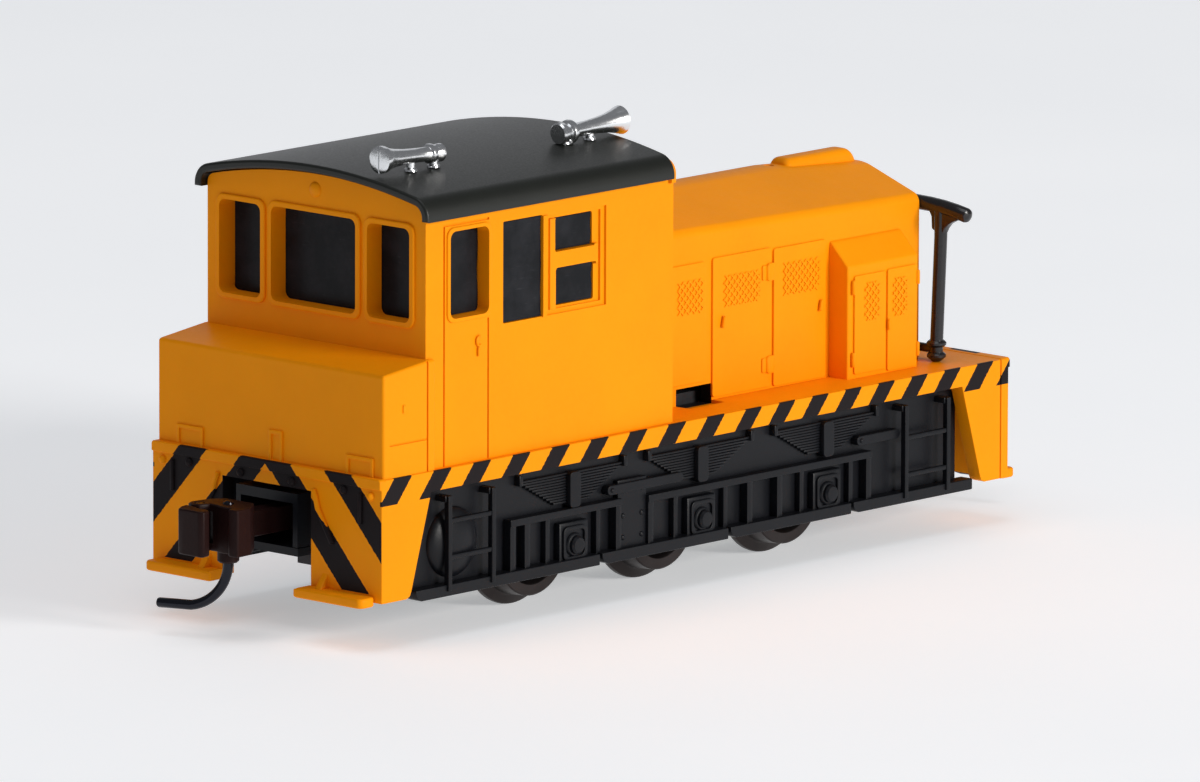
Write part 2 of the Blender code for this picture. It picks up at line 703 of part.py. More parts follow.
def chassis():
    chassis_half("chassis_left", 1)
    chassis_half("chassis_right", -1)
    for name, x in SCREWS.items():
        centre = (x, 0, SCREW_HEIGHT)
        washer = rod("y", centre, 1.22, -0.69, 0.69, 14)
        piece(f"spacer_{name}", "insulator", [washer], [rod("y", centre, 0.66, -2, 2, 14)])
        profile = ((-3.25, 0.0), (-3.25, 1.05), (-2.66, 1.05), (-2.66, 0.60), (3.10, 0.60), (3.10, 0.0))
        drive = block((x - 1.2, x + 1.2), (-3.6, -3.05), (SCREW_HEIGHT - 0.12, SCREW_HEIGHT + 0.12))
        piece(f"chassis_screw_{name}", "screw_steel", [turned(profile, "y", centre, 12)], [drive])


def keeper_plate():
    plate = prism(rounded(-19.20, 19.20, -2.90, 2.90, 0.6), "z", 1.00, 1.85)
    cuts = []
    for x in AXLES.values():
        cuts.append(block((x - 2.75, x + 2.75), (-1.10, 1.10), (0, 3)))
        cuts.append(block((x - 1.20, x + 1.20), (-3.2, 3.2), (1.60, 3)))
    for x in IDLERS.values():
        cuts.append(block((x - 1.70, x + 1.70), (-1.10, 1.10), (0, 3)))
    piece("keeper_plate", "frame_black", [plate], cuts)


# ---------------------------------------------------------------- motor


def motor():
    height = SHAFT_HEIGHT
    wide, tall = MOTOR_HALF_WIDTH, MOTOR_HALF_HEIGHT
    low, high = MOTOR_X
    shell = prism(rounded(-wide, wide, height - tall, height + tall, 1.2), "x", low, high)
    bore = prism(
        rounded(
            -wide + MOTOR_WALL, wide - MOTOR_WALL, height - tall + MOTOR_WALL, height + tall - MOTOR_WALL, 0.9
        ),
        "x",
        low + MOTOR_WALL,
        high + 1,
    )
    shaft_hole = rod("x", (0, 0, height), SHAFT_R + FIT, low - 1, low + 1, 16)
    piece("motor_can", "motor_steel", [shell], [bore, shaft_hole])
    cap = prism(rounded(-wide, wide, height - tall, height + tall, 1.2), "x", *END_CAP_X)
    holders = []
    for side in (-1, 1):
        y = sorted((side * 2.05, side * 3.10))
        holders.append(block((9.90, END_CAP_X[0] + 0.2), y, (height - 0.7, height + 0.7)))
    hole = rod("x", (0, 0, height), SHAFT_R + FIT, high - 1, END_CAP_X[1] + 1, 16)
    piece("motor_end_cap", "insulator", [cap, *holders], [hole])
    for name, side in (("upper", 1), ("lower", -1)):
        z = sorted((height + side * 1.6, height + side * (tall - MOTOR_WALL - GAP)))
        magnet = block((2.30, 8.80), (-2.40, 2.40), z)
        bore = rod("x", (0, 0, height), ARMATURE_R + 0.2, 1, 10)
        piece(f"magnet_{name}", "magnet", [magnet], [bore])
    for name, side in (("left", 1), ("right", -1)):
        y = sorted((side * (COMMUTATOR_R + GAP), side * 2.00))
        piece(f"brush_{name}", "carbon", [block((10.00, 10.80), y, (height - 0.45, height + 0.45))])
        y = sorted((side * 2.00, side * 3.20))
        back = END_CAP_X[1] + GAP
        strip = block((back, back + 0.20), y, (MOTOR_FLOOR + 0.10, height + 0.50))
        foot = block((back, back + 0.55), y, (MOTOR_FLOOR + GAP, MOTOR_FLOOR + 0.25))
        piece(f"motor_contact_{name}", "brass", [strip, foot])


def armature():
    """Shaft, three-pole core and commutator, which turn as one."""
    centre = (0, 0, SHAFT_HEIGHT)
    core = rod("x", centre, ARMATURE_R, *ARMATURE_X)
    commutator = rod("x", centre, COMMUTATOR_R, *COMMUTATOR_X, 12)
    collar = rod("x", centre, 0.80, ARMATURE_X[1] - 0.1, COMMUTATOR_X[0] + 0.1, 12)
    shaft = rod("x", centre, SHAFT_R, *SHAFT_X, 16)
    slots = []
    for step in range(3):
        slot = block((ARMATURE_X[0] - 1, ARMATURE_X[1] + 0.05), (-0.35, 0.35), (1.20, 3.0))
        turn = Matrix.Translation(centre) @ Matrix.Rotation(math.tau * step / 3, 4, "X")
        bmesh.ops.transform(slot, matrix=turn, verts=slot.verts)
        slots.append(slot)
    piece("motor_armature", "motor_steel", [shaft, core, commutator, collar], slots, origin=centre)


def worm():
    """A right-handed thread wound on a sleeve; one turn moves it one tooth."""
    pitch = math.pi * MODULE
    root = WORM_PITCH_R - 1.15 * MODULE
    tip = WORM_PITCH_R + 0.80 * MODULE
    steps_per_turn = 12
    count = int(WORM_TURNS * steps_per_turn)
    foot = root - 0.12
    start = TRANSFER_X - WORM_TURNS / 2 * pitch
    base_half = 0.30 * pitch
    tip_half = 0.13 * pitch
    # The thread's middle passes straight under the shaft above the transfer gear's centre.
    phase = -math.pi / 2 - math.tau * (TRANSFER_X - start) / pitch
    shape = bmesh.new()
    rings = []
    for i in range(count + 1):
        turn = math.tau * i / steps_per_turn
        x = start + pitch * turn / math.tau
        angle = phase + turn
        ring = []
        for along, radius in ((-base_half, foot), (-tip_half, tip), (tip_half, tip), (base_half, foot)):
            y = radius * math.cos(angle)
            z = SHAFT_HEIGHT + radius * math.sin(angle)
            ring.append(shape.verts.new((x + along, y, z)))
        rings.append(ring)
    for ring, following in zip(rings, rings[1:]):
        for i in range(4):
            j = (i + 1) % 4
            shape.faces.new((ring[i], ring[j], following[j], following[i]))
    shape.faces.new(rings[0])
    shape.faces.new(rings[-1])
    centre = (TRANSFER_X, 0, SHAFT_HEIGHT)
    sleeve = rod("x", centre, root, -WORM_TURNS / 2 * pitch - 0.35, WORM_TURNS / 2 * pitch + 0.35, 20)
    bore = rod("x", centre, SHAFT_R + FIT, -5, 5, 16)
    piece("worm", "brass", [sleeve, shape], [bore], origin=centre)
    bush = turned(((-8.50, 1.30), (-7.65, 1.30)), "x", (0, 0, SHAFT_HEIGHT))
    hole = rod("x", (0, 0, SHAFT_HEIGHT), SHAFT_R + FIT, -10, -6, 16)
    piece("worm_bearing", "brass", [bush], [hole])


# ---------------------------------------------------------------- gears and wheels


def gear_outline(teeth, tooth_angle):
    """Points of a spur gear about its own centre; one tooth points at tooth_angle, measured from +X to +Z."""
    pitch_r = MODULE * teeth / 2
    tip = pitch_r + 0.80 * MODULE
    root = pitch_r - 1.10 * MODULE
    half_pitch_tooth = 0.205 * math.pi * MODULE
    slope = math.tan(math.radians(22))
    outline = []
    for tooth in range(teeth):
        middle = tooth_angle + math.tau * tooth / teeth
        for radius, side in ((root, -1), (tip, -1), (tip, 1), (root, 1)):
            half = (half_pitch_tooth + (pitch_r - radius) * slope) / radius
            angle = middle + side * half
            outline.append((radius * math.cos(angle), radius * math.sin(angle)))
    return outline


def gear_body(gear):
    outline = [(gear["x"] + a, gear["z"] + b) for a, b in gear_outline(gear["teeth"], gear["angle"])]
    return prism(outline, "y", -GEAR_HALF_WIDTH, GEAR_HALF_WIDTH)


def meshing_angle(driver, driven):
    """The tooth angle that puts a driven gear's gap on its driver's tooth along the line of centres."""
    direction = math.atan2(driven["z"] - driver["z"], driven["x"] - driver["x"])
    tooth_phase = (direction - driver["angle"]) * driver["teeth"] / math.tau
    return direction + math.pi - (0.5 - tooth_phase) * math.tau / driven["teeth"]


def gear_train():
    """Every gear with its teeth, its centre and the tooth angle that puts all of them in mesh at rest."""
    train = {
        "transfer": {"teeth": TRANSFER_TEETH, "x": TRANSFER_X, "z": TRANSFER_HEIGHT},
        "idler_rear": {"teeth": IDLER_TEETH, "x": IDLERS["rear"], "z": IDLER_HEIGHT},
        "idler_front": {"teeth": IDLER_TEETH, "x": IDLERS["front"], "z": IDLER_HEIGHT},
    }
    for name, x in AXLES.items():
        train[name] = {"teeth": AXLE_TEETH, "x": x, "z": AXLE_HEIGHT}
    train["transfer"]["angle"] = math.pi / 2 + math.pi / TRANSFER_TEETH
    for driver, driven in (
        ("transfer", "idler_rear"),
        ("idler_rear", "rear"),
        ("idler_rear", "middle"),
        ("middle", "idler_front"),
        ("idler_front", "front"),
    ):
        train[driven]["angle"] = meshing_angle(train[driver], train[driven])
    return train


def gears(train):
    stub_gears = (
        ("transfer_gear", train["transfer"]),
        ("idler_gear_rear", train["idler_rear"]),
        ("idler_gear_front", train["idler_front"]),
    )
    for name, gear in stub_gears:
        centre = (gear["x"], 0, gear["z"])
        stub = rod("y", centre, GEAR_STUB_R, -2.20, 2.20, 16)
        piece(name, "gear_nylon", [gear_body(gear), stub], origin=centre)
    for name in AXLES:
        gear = train[name]
        centre = (gear["x"], 0, gear["z"])
        sleeve = rod("y", centre, 1.05, -1.65, 1.65, 20)
        bore = rod("y", centre, AXLE_TIP_R + FIT, -3, 3, 16)
        piece(f"axle_gear_{name}", "gear_nylon", [gear_body(gear), sleeve], [bore], origin=centre)


def wheels():
    """Each wheel is turned in one piece with its half axle."""
    for name, x in AXLES.items():
        for side_name, side in (("left", 1), ("right", -1)):
            profile = (
                (0.25, 0.0),
                (0.25, AXLE_TIP_R),
                (1.72, AXLE_TIP_R),
                (1.72, AXLE_R),
                (WHEEL_BACK, AXLE_R),
                (WHEEL_BACK, FLANGE_R),
                (WHEEL_BACK + FLANGE_WIDTH, FLANGE_R - 0.15),
                (WHEEL_BACK + FLANGE_WIDTH + 0.15, TREAD_R),
                (WHEEL_FACE, TREAD_R - 0.08),
                (WHEEL_FACE, 2.15),
                (WHEEL_FACE - 0.30, 1.95),
                (WHEEL_FACE - 0.30, 0.0),
            )
            points = [(side * along, radius) for along, radius in profile]
            centre = (x, 0, AXLE_HEIGHT)
            piece(f"wheel_{name}_{side_name}", "wheel_metal", [turned(points, "y", centre)], origin=centre)


# ---------------------------------------------------------------- couplers


def coupler(end):
    """One coupler, drawn pointing along +X from its pivot, then turned and moved to its end."""
    facing = Matrix.Rotation(math.pi, 4, "Z") if end == "rear" else Matrix.Identity(4)
    pivot = facing @ Vector((PIVOT_X, 0, 0))
    place = Matrix.Translation(pivot) @ facing

    box = block((BOX_BACK, BOX_OUT), (-BOX_HALF, BOX_HALF), (4.35, 7.30))
    room = block((BOX_BACK + 0.5, BOX_OUT + 1), (-1.95, 1.95), (3.5, 6.75))
    post_hole = rod("z", (0, 0, 0), 0.45, 3, 8, 12)
    piece(f"coupler_box_{end}", "frame_black", [box], [room, post_hole], turn=place)
    lid = block((BOX_BACK, BOX_OUT - 0.05), (-BOX_HALF, BOX_HALF), (3.85, 4.29))
    recess = rod("z", (0, 0, 0), 0.95, 3, 4.08, 12)
    lid_hole = rod("z", (0, 0, 0), 0.45, 3, 8, 12)
    piece(f"coupler_box_lid_{end}", "frame_black", [lid], [lid_hole, recess], turn=place)
    profile = ((3.72, 0.0), (3.72, 0.85), (4.04, 0.85), (4.04, 0.40), (7.20, 0.40), (7.20, 0.0))
    screw = turned(profile, "z", (0, 0, 0), 12)
    drive = block((-1, 1), (-0.09, 0.09), (3.5, 3.86))
    piece(f"coupler_screw_{end}", "screw_steel", [screw], [drive], turn=place)
    spring_at = (BOX_BACK + 0.98, 0, COUPLER_MIDDLE)
    spring = rod("y", spring_at, 0.42, -0.35, 0.35, 14)
    core = rod("y", spring_at, 0.24, -2, 2, 12)
    piece(f"centring_spring_{end}", "screw_steel", [spring], [core], turn=place)

    head(end, place, pivot)
    knuckle(end, place)
    trip_pin(end, place, pivot)


def head(end, place, pivot):
    """The coupler's body with its shank, the eye at the pivot and two lugs that hold the knuckle."""
    low, high = COUPLER_LOW, COUPLER_HIGH
    shank_z = (COUPLER_MIDDLE - 0.70, COUPLER_MIDDLE + 0.70)
    eye = rod("z", (0, 0, 0), 0.80, *shank_z, 16)
    shank = block((0, 5.60), (-0.62, 0.62), shank_z)
    body = (
        (5.10, -1.05),
        (5.90, -1.60),
        (6.90, -1.80),
        (6.90, -0.05),
        (7.05, 0.25),
        (7.05, 1.15),
        (7.45, 1.35),
        (7.40, 2.00),
        (6.30, 1.95),
        (5.10, 1.05),
    )
    block_body = prism(body, "z", low, high)
    lug = (
        (5.90, -1.60),
        (7.10, -1.80),
        (7.55, -1.55),
        (7.70, -1.15),
        (7.55, -0.75),
        (7.10, -0.55),
        (5.90, -0.55),
    )
    lugs = [prism(lug, "z", low, low + 0.42), prism(lug, "z", high - 0.42, high)]
    u, v = KNUCKLE_PIVOT
    pocket = rod("z", (u, v, 0), 0.85, low + 0.42, high - 0.42, 20)
    pin_u, pin_v = TRIP_PIN_AT
    cuts = [
        pocket,
        rod("z", (u, v, 0), 0.24 + FIT, low - 1, high + 1, 12),
        rod("z", (pin_u, pin_v, 0), 0.28 + FIT, low - 1, high + 1, 12),
        rod("z", (0, 0, 0), 0.40 + FIT, low - 1, high + 1, 12),
    ]
    boss = rod("z", (pin_u, pin_v, 0), TRIP_BOSS_R, TRIP_BEND_TOP, low + 0.2, 16)
    solids = [block_body, shank, eye, boss, *lugs]
    piece(f"coupler_head_{end}", "coupler_brown", solids, cuts, origin=pivot, turn=place)


def knuckle(end, place):
    """The hook that swings out about its pin; its hub sits between the head's two lugs."""
    low, high = COUPLER_LOW, COUPLER_HIGH
    u, v = KNUCKLE_PIVOT
    hub = rod("z", (u, v, 0), 0.60, low + 0.50, high - 0.50, 16)
    neck_outline = ((u, v - 0.60), (u + 0.95, v - 0.35), (u + 1.00, v + 0.45), (u, v + 0.55))
    neck = prism(neck_outline, "z", low + 0.50, high - 0.50)
    finger_outline = (
        (u + 0.68, v - 0.34),
        (u + 1.25, v - 0.20),
        (COUPLER_FACE - 0.05, -1.05),
        (COUPLER_FACE, -0.60),
        (COUPLER_FACE, 0.55),
        (COUPLER_FACE - 0.15, 0.78),
        (8.25, 0.72),
        (8.05, 0.45),
        (8.05, -0.35),
        (u + 0.80, v + 0.60),
    )
    finger = prism(finger_outline, "z", low + 0.04, high - 0.04)
    origin = place @ Vector((u, v, 0))
    hole = rod("z", (u, v, 0), 0.24 + FIT, low - 1, high + 1, 12)
    piece(f"knuckle_{end}", "coupler_brown", [hub, neck, finger], [hole], origin=origin, turn=place)
    pin = rod("z", (u, v, 0), 0.24, low + 0.02, high - 0.02, 12)
    piece(f"knuckle_pin_{end}", "blued_steel", [pin], origin=origin, turn=place)


def trip_pin(end, place, pivot):
    """A wire that drops from the head and curls sideways just above the rails."""
    u, v = TRIP_PIN_AT
    route = [(u, v, COUPLER_HIGH + 0.03), (u, v, 5.0), (u, v, TRIP_BEND_TOP)]
    for step in range(1, 8):
        angle = step / 7 * math.radians(80)
        sideways = TRIP_BEND_R * (1 - math.cos(angle))
        drop = TRIP_BEND_R * math.sin(angle)
        route.append((u + 0.30 * sideways, v - sideways, TRIP_BEND_TOP - drop))
    last = Vector(route[-1])
    route.append(tuple(last + Vector((0.27, -0.95, -0.02)) * TRIP_TIP))
    piece(f"trip_pin_{end}", "blued_steel", [pipe(route, 0.28)], origin=pivot, turn=place)


def main():
    clear_scene()
    rail_top_frame()
    body_shell()
    cab_roof()
    glazing()
    horn("horn_rear", -21.10, -16.20, 25.34, 25.17, HORN_Y)
    horn("horn_front", -1.90, -6.95, 25.22, 25.02, HORN_Y)
    front_handrail()
    side_frames()
    chassis()
    keeper_plate()
    motor()
    armature()
    worm()
    gears(gear_train())
    wheels()
    coupler("rear")
    coupler("front")


main()
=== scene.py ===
"""Looks of the model diesel locomotive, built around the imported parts.

Shapes are drawn in millimetres above the rail top, as in the parts: X towards the long hood, Y to
the left and Z up. publish() scales each piece to metres and lifts it by the depth of a wheel flange,
which puts it in the shared frame.
"""

import json
import math

import bmesh
import bpy
from mathutils import Matrix, Vector


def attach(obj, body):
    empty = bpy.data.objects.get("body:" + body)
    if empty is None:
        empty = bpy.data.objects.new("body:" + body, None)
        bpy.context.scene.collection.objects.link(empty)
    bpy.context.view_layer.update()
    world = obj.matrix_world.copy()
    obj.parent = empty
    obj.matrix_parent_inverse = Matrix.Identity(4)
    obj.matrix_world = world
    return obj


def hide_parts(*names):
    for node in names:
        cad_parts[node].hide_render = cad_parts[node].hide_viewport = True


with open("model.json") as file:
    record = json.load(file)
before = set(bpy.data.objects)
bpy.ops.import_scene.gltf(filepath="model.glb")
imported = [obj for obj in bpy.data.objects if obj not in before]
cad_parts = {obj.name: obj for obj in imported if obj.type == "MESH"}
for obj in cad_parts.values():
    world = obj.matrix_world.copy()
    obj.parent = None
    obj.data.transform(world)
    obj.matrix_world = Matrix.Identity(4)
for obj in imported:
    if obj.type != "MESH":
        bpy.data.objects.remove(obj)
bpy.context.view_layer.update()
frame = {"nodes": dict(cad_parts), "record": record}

MM = 0.001
FLANGE_DEPTH = 0.60

# Body
REAR_END = -25.45
FRONT_END = 25.70
PLATE = 0.70
PLATE_TOP = 8.90
RIM_FOOT = 8.32
FACE_BACK = 0.13  # the plate's face lies this far behind its rim
HALF_WIDTH = 8.60
DECK_TOP = 8.86
DECK_BOTTOM = 7.73
SKIRT_BOTTOM = 2.09
SKIRT_WALL = 0.90
CAB_REAR = -21.45
CAB_FRONT = -1.75
CAB_HALF = 8.17
CAB_WALL = 1.00
WALL_FOOT = DECK_TOP - 0.3  # walls start a little inside the deck
CAB_CEILING = 22.25
LINING_HALF = 7.15
REAR_HOOD_X = -25.05
REAR_HOOD_HALF = 8.47
HOOD_FRONT = 21.85
HOOD_HALF = 5.20
# Sections of the hood as (x, height of the shoulder, height of the crown, half width of the crown)
HOOD_SECTIONS = ((-2.05, 18.64, 20.14, 0.55), (14.60, 18.31, 20.12, 0.60), (HOOD_FRONT, 18.17, 19.60, 1.10))
CABINET_X = (14.30, 20.15)
CABINET_HALF = 6.60
VENT_BOX_X = (15.75, 21.62)
VENT_BOX_HALF = 0.75
VENT_BOX_TOP = 20.40
NOSE_ROUND = 0.95
REAR_ROUND = 0.40
OPENING_HALF = 3.30
OPENING_TOP = 7.60
STEP_TOP = 2.50
HATCH_X = (1.75, 4.65)
HATCH_TOP = 9.80

# Windows as (low, high) along the wall, then in height
DOOR_WINDOW = (-19.59, -16.55, 16.88, 21.67)
OPEN_WINDOW = (-15.35, -12.25, 16.10, 21.70)
SASHES = ((-11.20, -8.02, 19.50, 21.36), (-11.12, -7.92, 16.50, 18.62))
SASH_FRAME = (-11.95, -7.15, 16.10, 21.60)
PANE_WAVE = 0.06  # how far the edge of a pane wanders
REAR_WINDOWS = ((-7.10, -3.95, 16.78, 21.95), (-3.08, 3.24, 16.78, 22.00), (4.05, 7.15, 16.78, 21.95))
FRONT_WINDOWS = ((-7.30, -5.70, 16.90, 21.80), (5.70, 7.30, 16.90, 21.80))

# Doors and their screens, each as (low, high) along the wall and in height
HOOD_DOORS = (((1.20, 4.0), (10.0, 16.70)), ((4.60, 9.40), (9.0, 16.80)), ((9.60, 13.90), (8.95, 16.70)))
HOOD_SCREENS = (
    ((1.75, 3.85), (13.90, 15.80)),
    ((5.50, 8.45), (13.95, 15.70)),
    ((10.40, 13.35), (13.95, 15.80)),
)
CABINET_DOORS = (((14.75, 17.35), (9.10, 14.65)), ((17.50, 19.95), (8.95, 14.70)))
CABINET_SCREENS = (((15.60, 16.80), (12.03, 14.17)), ((17.95, 19.10), (12.0, 14.13)))
MESH_PITCH = 0.46
MESH_RIB = 0.10
MESH_RISE = 0.06

# Roof and horns
ROOF_HALF = 8.75
ROOF_X = (-21.95, -2.20)
ROOF_EAVE = 22.50
ROOF_CROWN = 24.69
ROOF_SKIN = 0.48
ROOF_SHOULDER_R = 1.15
ROOF_SAG = 0.85
HORN_Y = -4.35

# Running gear
FRAME_BACK = 7.00
FRAME_PLATE = 7.55
FRAME_FACE = 8.15
FRAME_OUTER = 8.45
JOURNALS = (-9.45, 0.85, 11.15)
JOURNAL_HEIGHT = 3.10
AXLES = {"rear": -10.30, "middle": 0.0, "front": 10.30}
AXLE_HEIGHT = 2.85
PIVOT_X = 22.25
COUPLER_LOW = 4.35
COUPLER_HIGH = 6.95
COUPLER_MIDDLE = (COUPLER_LOW + COUPLER_HIGH) / 2
KNUCKLE_PIVOT = (7.10, -1.15)
TRIP_PIN_AT = (6.25, 0.20)
TRIP_BOSS_R = 0.60
TRIP_BEND_TOP = 3.75
TRIP_BEND_R = 2.60
TRIP_TIP = 2.15

AXIS_ORDER = {"x": (2, 0, 1), "y": (0, 2, 1), "z": (0, 1, 2)}
FINE = 48  # sides of a turned piece
SMOOTH_ANGLE = math.radians(32)


# ---- shapes, in millimetres


def block(x, y, z):
    """A box from its (low, high) pairs."""
    shape = bmesh.new()
    bmesh.ops.create_cube(shape, size=1)
    for vert in shape.verts:
        vert.co = [pair[0] if side < 0 else pair[1] for side, pair in zip(vert.co, (x, y, z))]
    return shape


def ring_at(shape, outline, axis, level):
    """An outline's points, added to a shape at one level along an axis."""
    return [shape.verts.new([(a, b, level)[i] for i in AXIS_ORDER[axis]]) for a, b in outline]


def prism(outline, axis, low, high):
    """An outline of (a, b) points pushed along an axis. The points are (y, z), (x, z) or (x, y)."""
    shape = bmesh.new()
    bridge(shape, [ring_at(shape, outline, axis, level) for level in (low, high)])
    return shape


def bridge(shape, rings):
    """Faces between neighbouring rings of points, and a cap on each end ring."""
    for ring, following in zip(rings, rings[1:]):
        for i in range(max(len(ring), len(following))):
            corners = [ring[i % len(ring)], ring[(i + 1) % len(ring)]]
            corners += [following[(i + 1) % len(following)], following[i % len(following)]]
            shape.faces.new(list(dict.fromkeys(corners)))
    for ring in (rings[0], rings[-1]):
        if len(ring) > 2:
            shape.faces.new(ring)


def loft(sections):
    """A solid through a row of sections with equal numbers of (x, y, z) points."""
    shape = bmesh.new()
    bridge(shape, [[shape.verts.new(point) for point in section] for section in sections])
    return shape


def turned(profile, axis, centre, steps=FINE):
    """A profile of (distance along the axis, radius) points turned about an axis through the centre."""
    shape = bmesh.new()
    around = {"x": (0, 1, 2), "y": (1, 2, 0), "z": (2, 0, 1)}[axis]
    rings = []
    for along, radius in profile:
        ring = []
        for step in range(steps if radius > 0 else 1):
            angle = math.tau * step / steps
            point = [0, 0, 0]
            point[around[0]] = along
            point[around[1]] = radius * math.cos(angle)
            point[around[2]] = radius * math.sin(angle)
            ring.append(shape.verts.new(Vector(point) + Vector(centre)))
        rings.append(ring)
    bridge(shape, rings)
    return shape


def rod(axis, centre, radius, low, high, steps=FINE, edge=0.05):
    """A round bar with slightly rounded ends."""
    profile = ((low, radius - edge), (low + edge, radius), (high - edge, radius), (high, radius - edge))
    return turned(profile, axis, centre, steps)


def pipe(route, radius, sides=20):
    """A round bar along a list of points, with round ends."""
    points = [Vector(point) for point in route]
    shape = bmesh.new()
    side = Vector((0, 1, 0)).cross(points[1] - points[0])
    if side.length < 1e-6:
        side = Vector((1, 0, 0))
    stations = []
    for i, point in enumerate(points):
        ahead = (points[min(i + 1, len(points) - 1)] - points[max(i - 1, 0)]).normalized()
        stations.append((point, ahead, 1.0))
    start, end = stations[0], stations[-1]
    domes = ((1.0, 0.15), (0.87, 0.5), (0.5, 0.87))
    before = [(start[0] - start[1] * radius * reach * 0.6, start[1], scale) for reach, scale in domes]
    after = [(end[0] + end[1] * radius * reach * 0.6, end[1], scale) for reach, scale in reversed(domes)]
    rings = []
    for point, ahead, scale in [*before, *stations, *after]:
        side = (side - ahead * side.dot(ahead)).normalized()
        other = ahead.cross(side)
        ring = []
        for step in range(sides):
            angle = math.tau * step / sides
            outward = side * math.cos(angle) + other * math.sin(angle)
            ring.append(shape.verts.new(point + outward * radius * scale))
        rings.append(ring)
    bridge(shape, rings)
    return shape


def pin(x, y, z, half, radius, sides):
    """An upright round bar, such as a hinge's, from its middle and half its length."""
    return pipe([(x, y, z - half), (x, y, z + half)], radius, sides)


def quarter_arc(end, top, radius, steps):
    """Points of a quarter circle that starts upright at one end and becomes level at the top."""
    points = []
    for step in range(steps + 1):
        angle = step / steps * math.pi / 2
        points.append((end - radius * (1 - math.cos(angle)), top - radius * (1 - math.sin(angle))))
    return points


def rounded(low_a, high_a, low_b, high_b, radius, steps=4):
    """The outline of a rectangle with round corners."""
    centres = (
        (high_a - radius, high_b - radius, 0),
        (low_a + radius, high_b - radius, 1),
        (low_a + radius, low_b + radius, 2),
        (high_a - radius, low_b + radius, 3),
    )
    outline = []
    for a, b, quarter in centres:
        for step in range(steps + 1):
            angle = (quarter + step / steps) * math.pi / 2
            outline.append((a + radius * math.cos(angle), b + radius * math.sin(angle)))
    return outline


def soften(shape, width=0.08, segments=2, where=None, angle=28):
    """Rounds the sharp edges of a shape, or those whose middle and direction pass a test."""
    bmesh.ops.recalc_face_normals(shape, faces=shape.faces)
    edges = []
    for edge in shape.edges:
        if len(edge.link_faces) != 2 or edge.calc_face_angle() < math.radians(angle):
            continue
        middle = (edge.verts[0].co + edge.verts[1].co) / 2
        along = (edge.verts[1].co - edge.verts[0].co).normalized()
        if where is None or where(middle, along):
            edges.append(edge)
    bmesh.ops.bevel(
        shape, geom=edges, offset=width, segments=segments, profile=0.5, affect="EDGES", clamp_overlap=True
    )
    return shape


def across(side, low, high):
    """The (low, high) pair of Y for distances out of the centre line on one side."""
    return tuple(sorted((side * low, side * high)))


def grown(window, lip):
    """A window's limits, moved out by the width of its lip."""
    low_a, high_a, low_b, high_b = window
    return (low_a - lip, high_a + lip, low_b - lip, high_b + lip)


def panel(side, x, z, low, high, edge=0.05, corner=0.0):
    """A plate on a side wall, from its distances out of the centre line."""
    if corner:
        shape = prism(rounded(*x, *z, corner), "y", *across(side, low, high))
    else:
        shape = block(x, across(side, low, high), z)
    return soften(shape, edge, 2)


def frame_ring(outer, inner, axis, low, high, edge=0.06):
    """A flat ring between two outlines with the same number of points."""
    shape = bmesh.new()
    rings = []
    for outline, level in ((outer, low), (outer, high), (inner, high), (inner, low)):
        rings.append(ring_at(shape, outline, axis, level))
    for ring, following in zip(rings, [*rings[1:], rings[0]]):
        for i in range(len(ring)):
            j = (i + 1) % len(ring)
            shape.faces.new((ring[i], ring[j], following[j], following[i]))
    return soften(shape, edge, 2, angle=60)


def dome_profile(start, rise, radius, steps):
    """Points from the foot of a dome to its tip, as distances along the axis and radii."""
    points = []
    for step in range(steps):
        angle = step / steps * math.pi / 2
        points.append((start + rise * math.sin(angle), radius * math.cos(angle)))
    return [*points, (start + rise, 0.0)]


def dome(axis, centre, radius, rise, out=1, steps=16):
    """A round-headed rivet that stands out along an axis from its centre."""
    profile = [(-0.15 * out, radius), *dome_profile(0, out * rise, radius, 4)]
    return turned(profile, axis, centre, steps)


def diamond_screen(side, x, z, wall):
    """A pressed mesh: two sets of slanting ribs, each cut off at the edges of its rectangle."""
    x0, x1 = x
    z0, z1 = z
    shapes = []
    for lean in (1, -1):
        start = x0 - (z1 - z0) if lean > 0 else x0
        count = int((x1 - x0 + z1 - z0) / MESH_PITCH)
        for step in range(1, count + 1):
            foot = start + step * MESH_PITCH
            low = max(z0, z0 + (x0 - foot) * lean if lean > 0 else z0 + (foot - x1))
            high = min(z1, z0 + (x1 - foot) if lean > 0 else z0 + (foot - x0))
            if high - low < 0.25:
                continue
            ends = [(foot + lean * (level - z0), level) for level in (low, high)]
            half = MESH_RIB / 2 * math.sqrt(2)
            outline = [(ends[0][0] - half, low), (ends[0][0] + half, low)]
            outline += [(ends[1][0] + half, high), (ends[1][0] - half, high)]
            shapes.append(prism(outline, "y", *across(side, wall - 0.15, wall + MESH_RISE)))
    return shapes


# ---- pieces


def add_object(name, data):
    obj = bpy.data.objects.new(name, data)
    bpy.context.scene.collection.objects.link(obj)
    return obj


def mesh_object(name, shape):
    bmesh.ops.recalc_face_normals(shape, faces=shape.faces)
    mesh = bpy.data.meshes.new(name)
    shape.to_mesh(mesh)
    shape.free()
    return add_object(name, mesh)


def combine(operation, obj, shapes):
    """Joins or cuts shapes with an object one after another, and applies the result at once."""
    tools = []
    for shape in shapes:
        tool = mesh_object("tool", shape)
        tools.append(tool)
        modifier = obj.modifiers.new(operation.lower(), "BOOLEAN")
        modifier.operation = operation
        modifier.solver = "MANIFOLD"
        modifier.object = tool
    graph = bpy.context.evaluated_depsgraph_get()
    result = bpy.data.meshes.new_from_object(obj.evaluated_get(graph))
    obj.modifiers.clear()
    old = obj.data
    obj.data = result
    bpy.data.meshes.remove(old)
    for tool in tools:
        spent = tool.data
        bpy.data.objects.remove(tool)
        bpy.data.meshes.remove(spent)


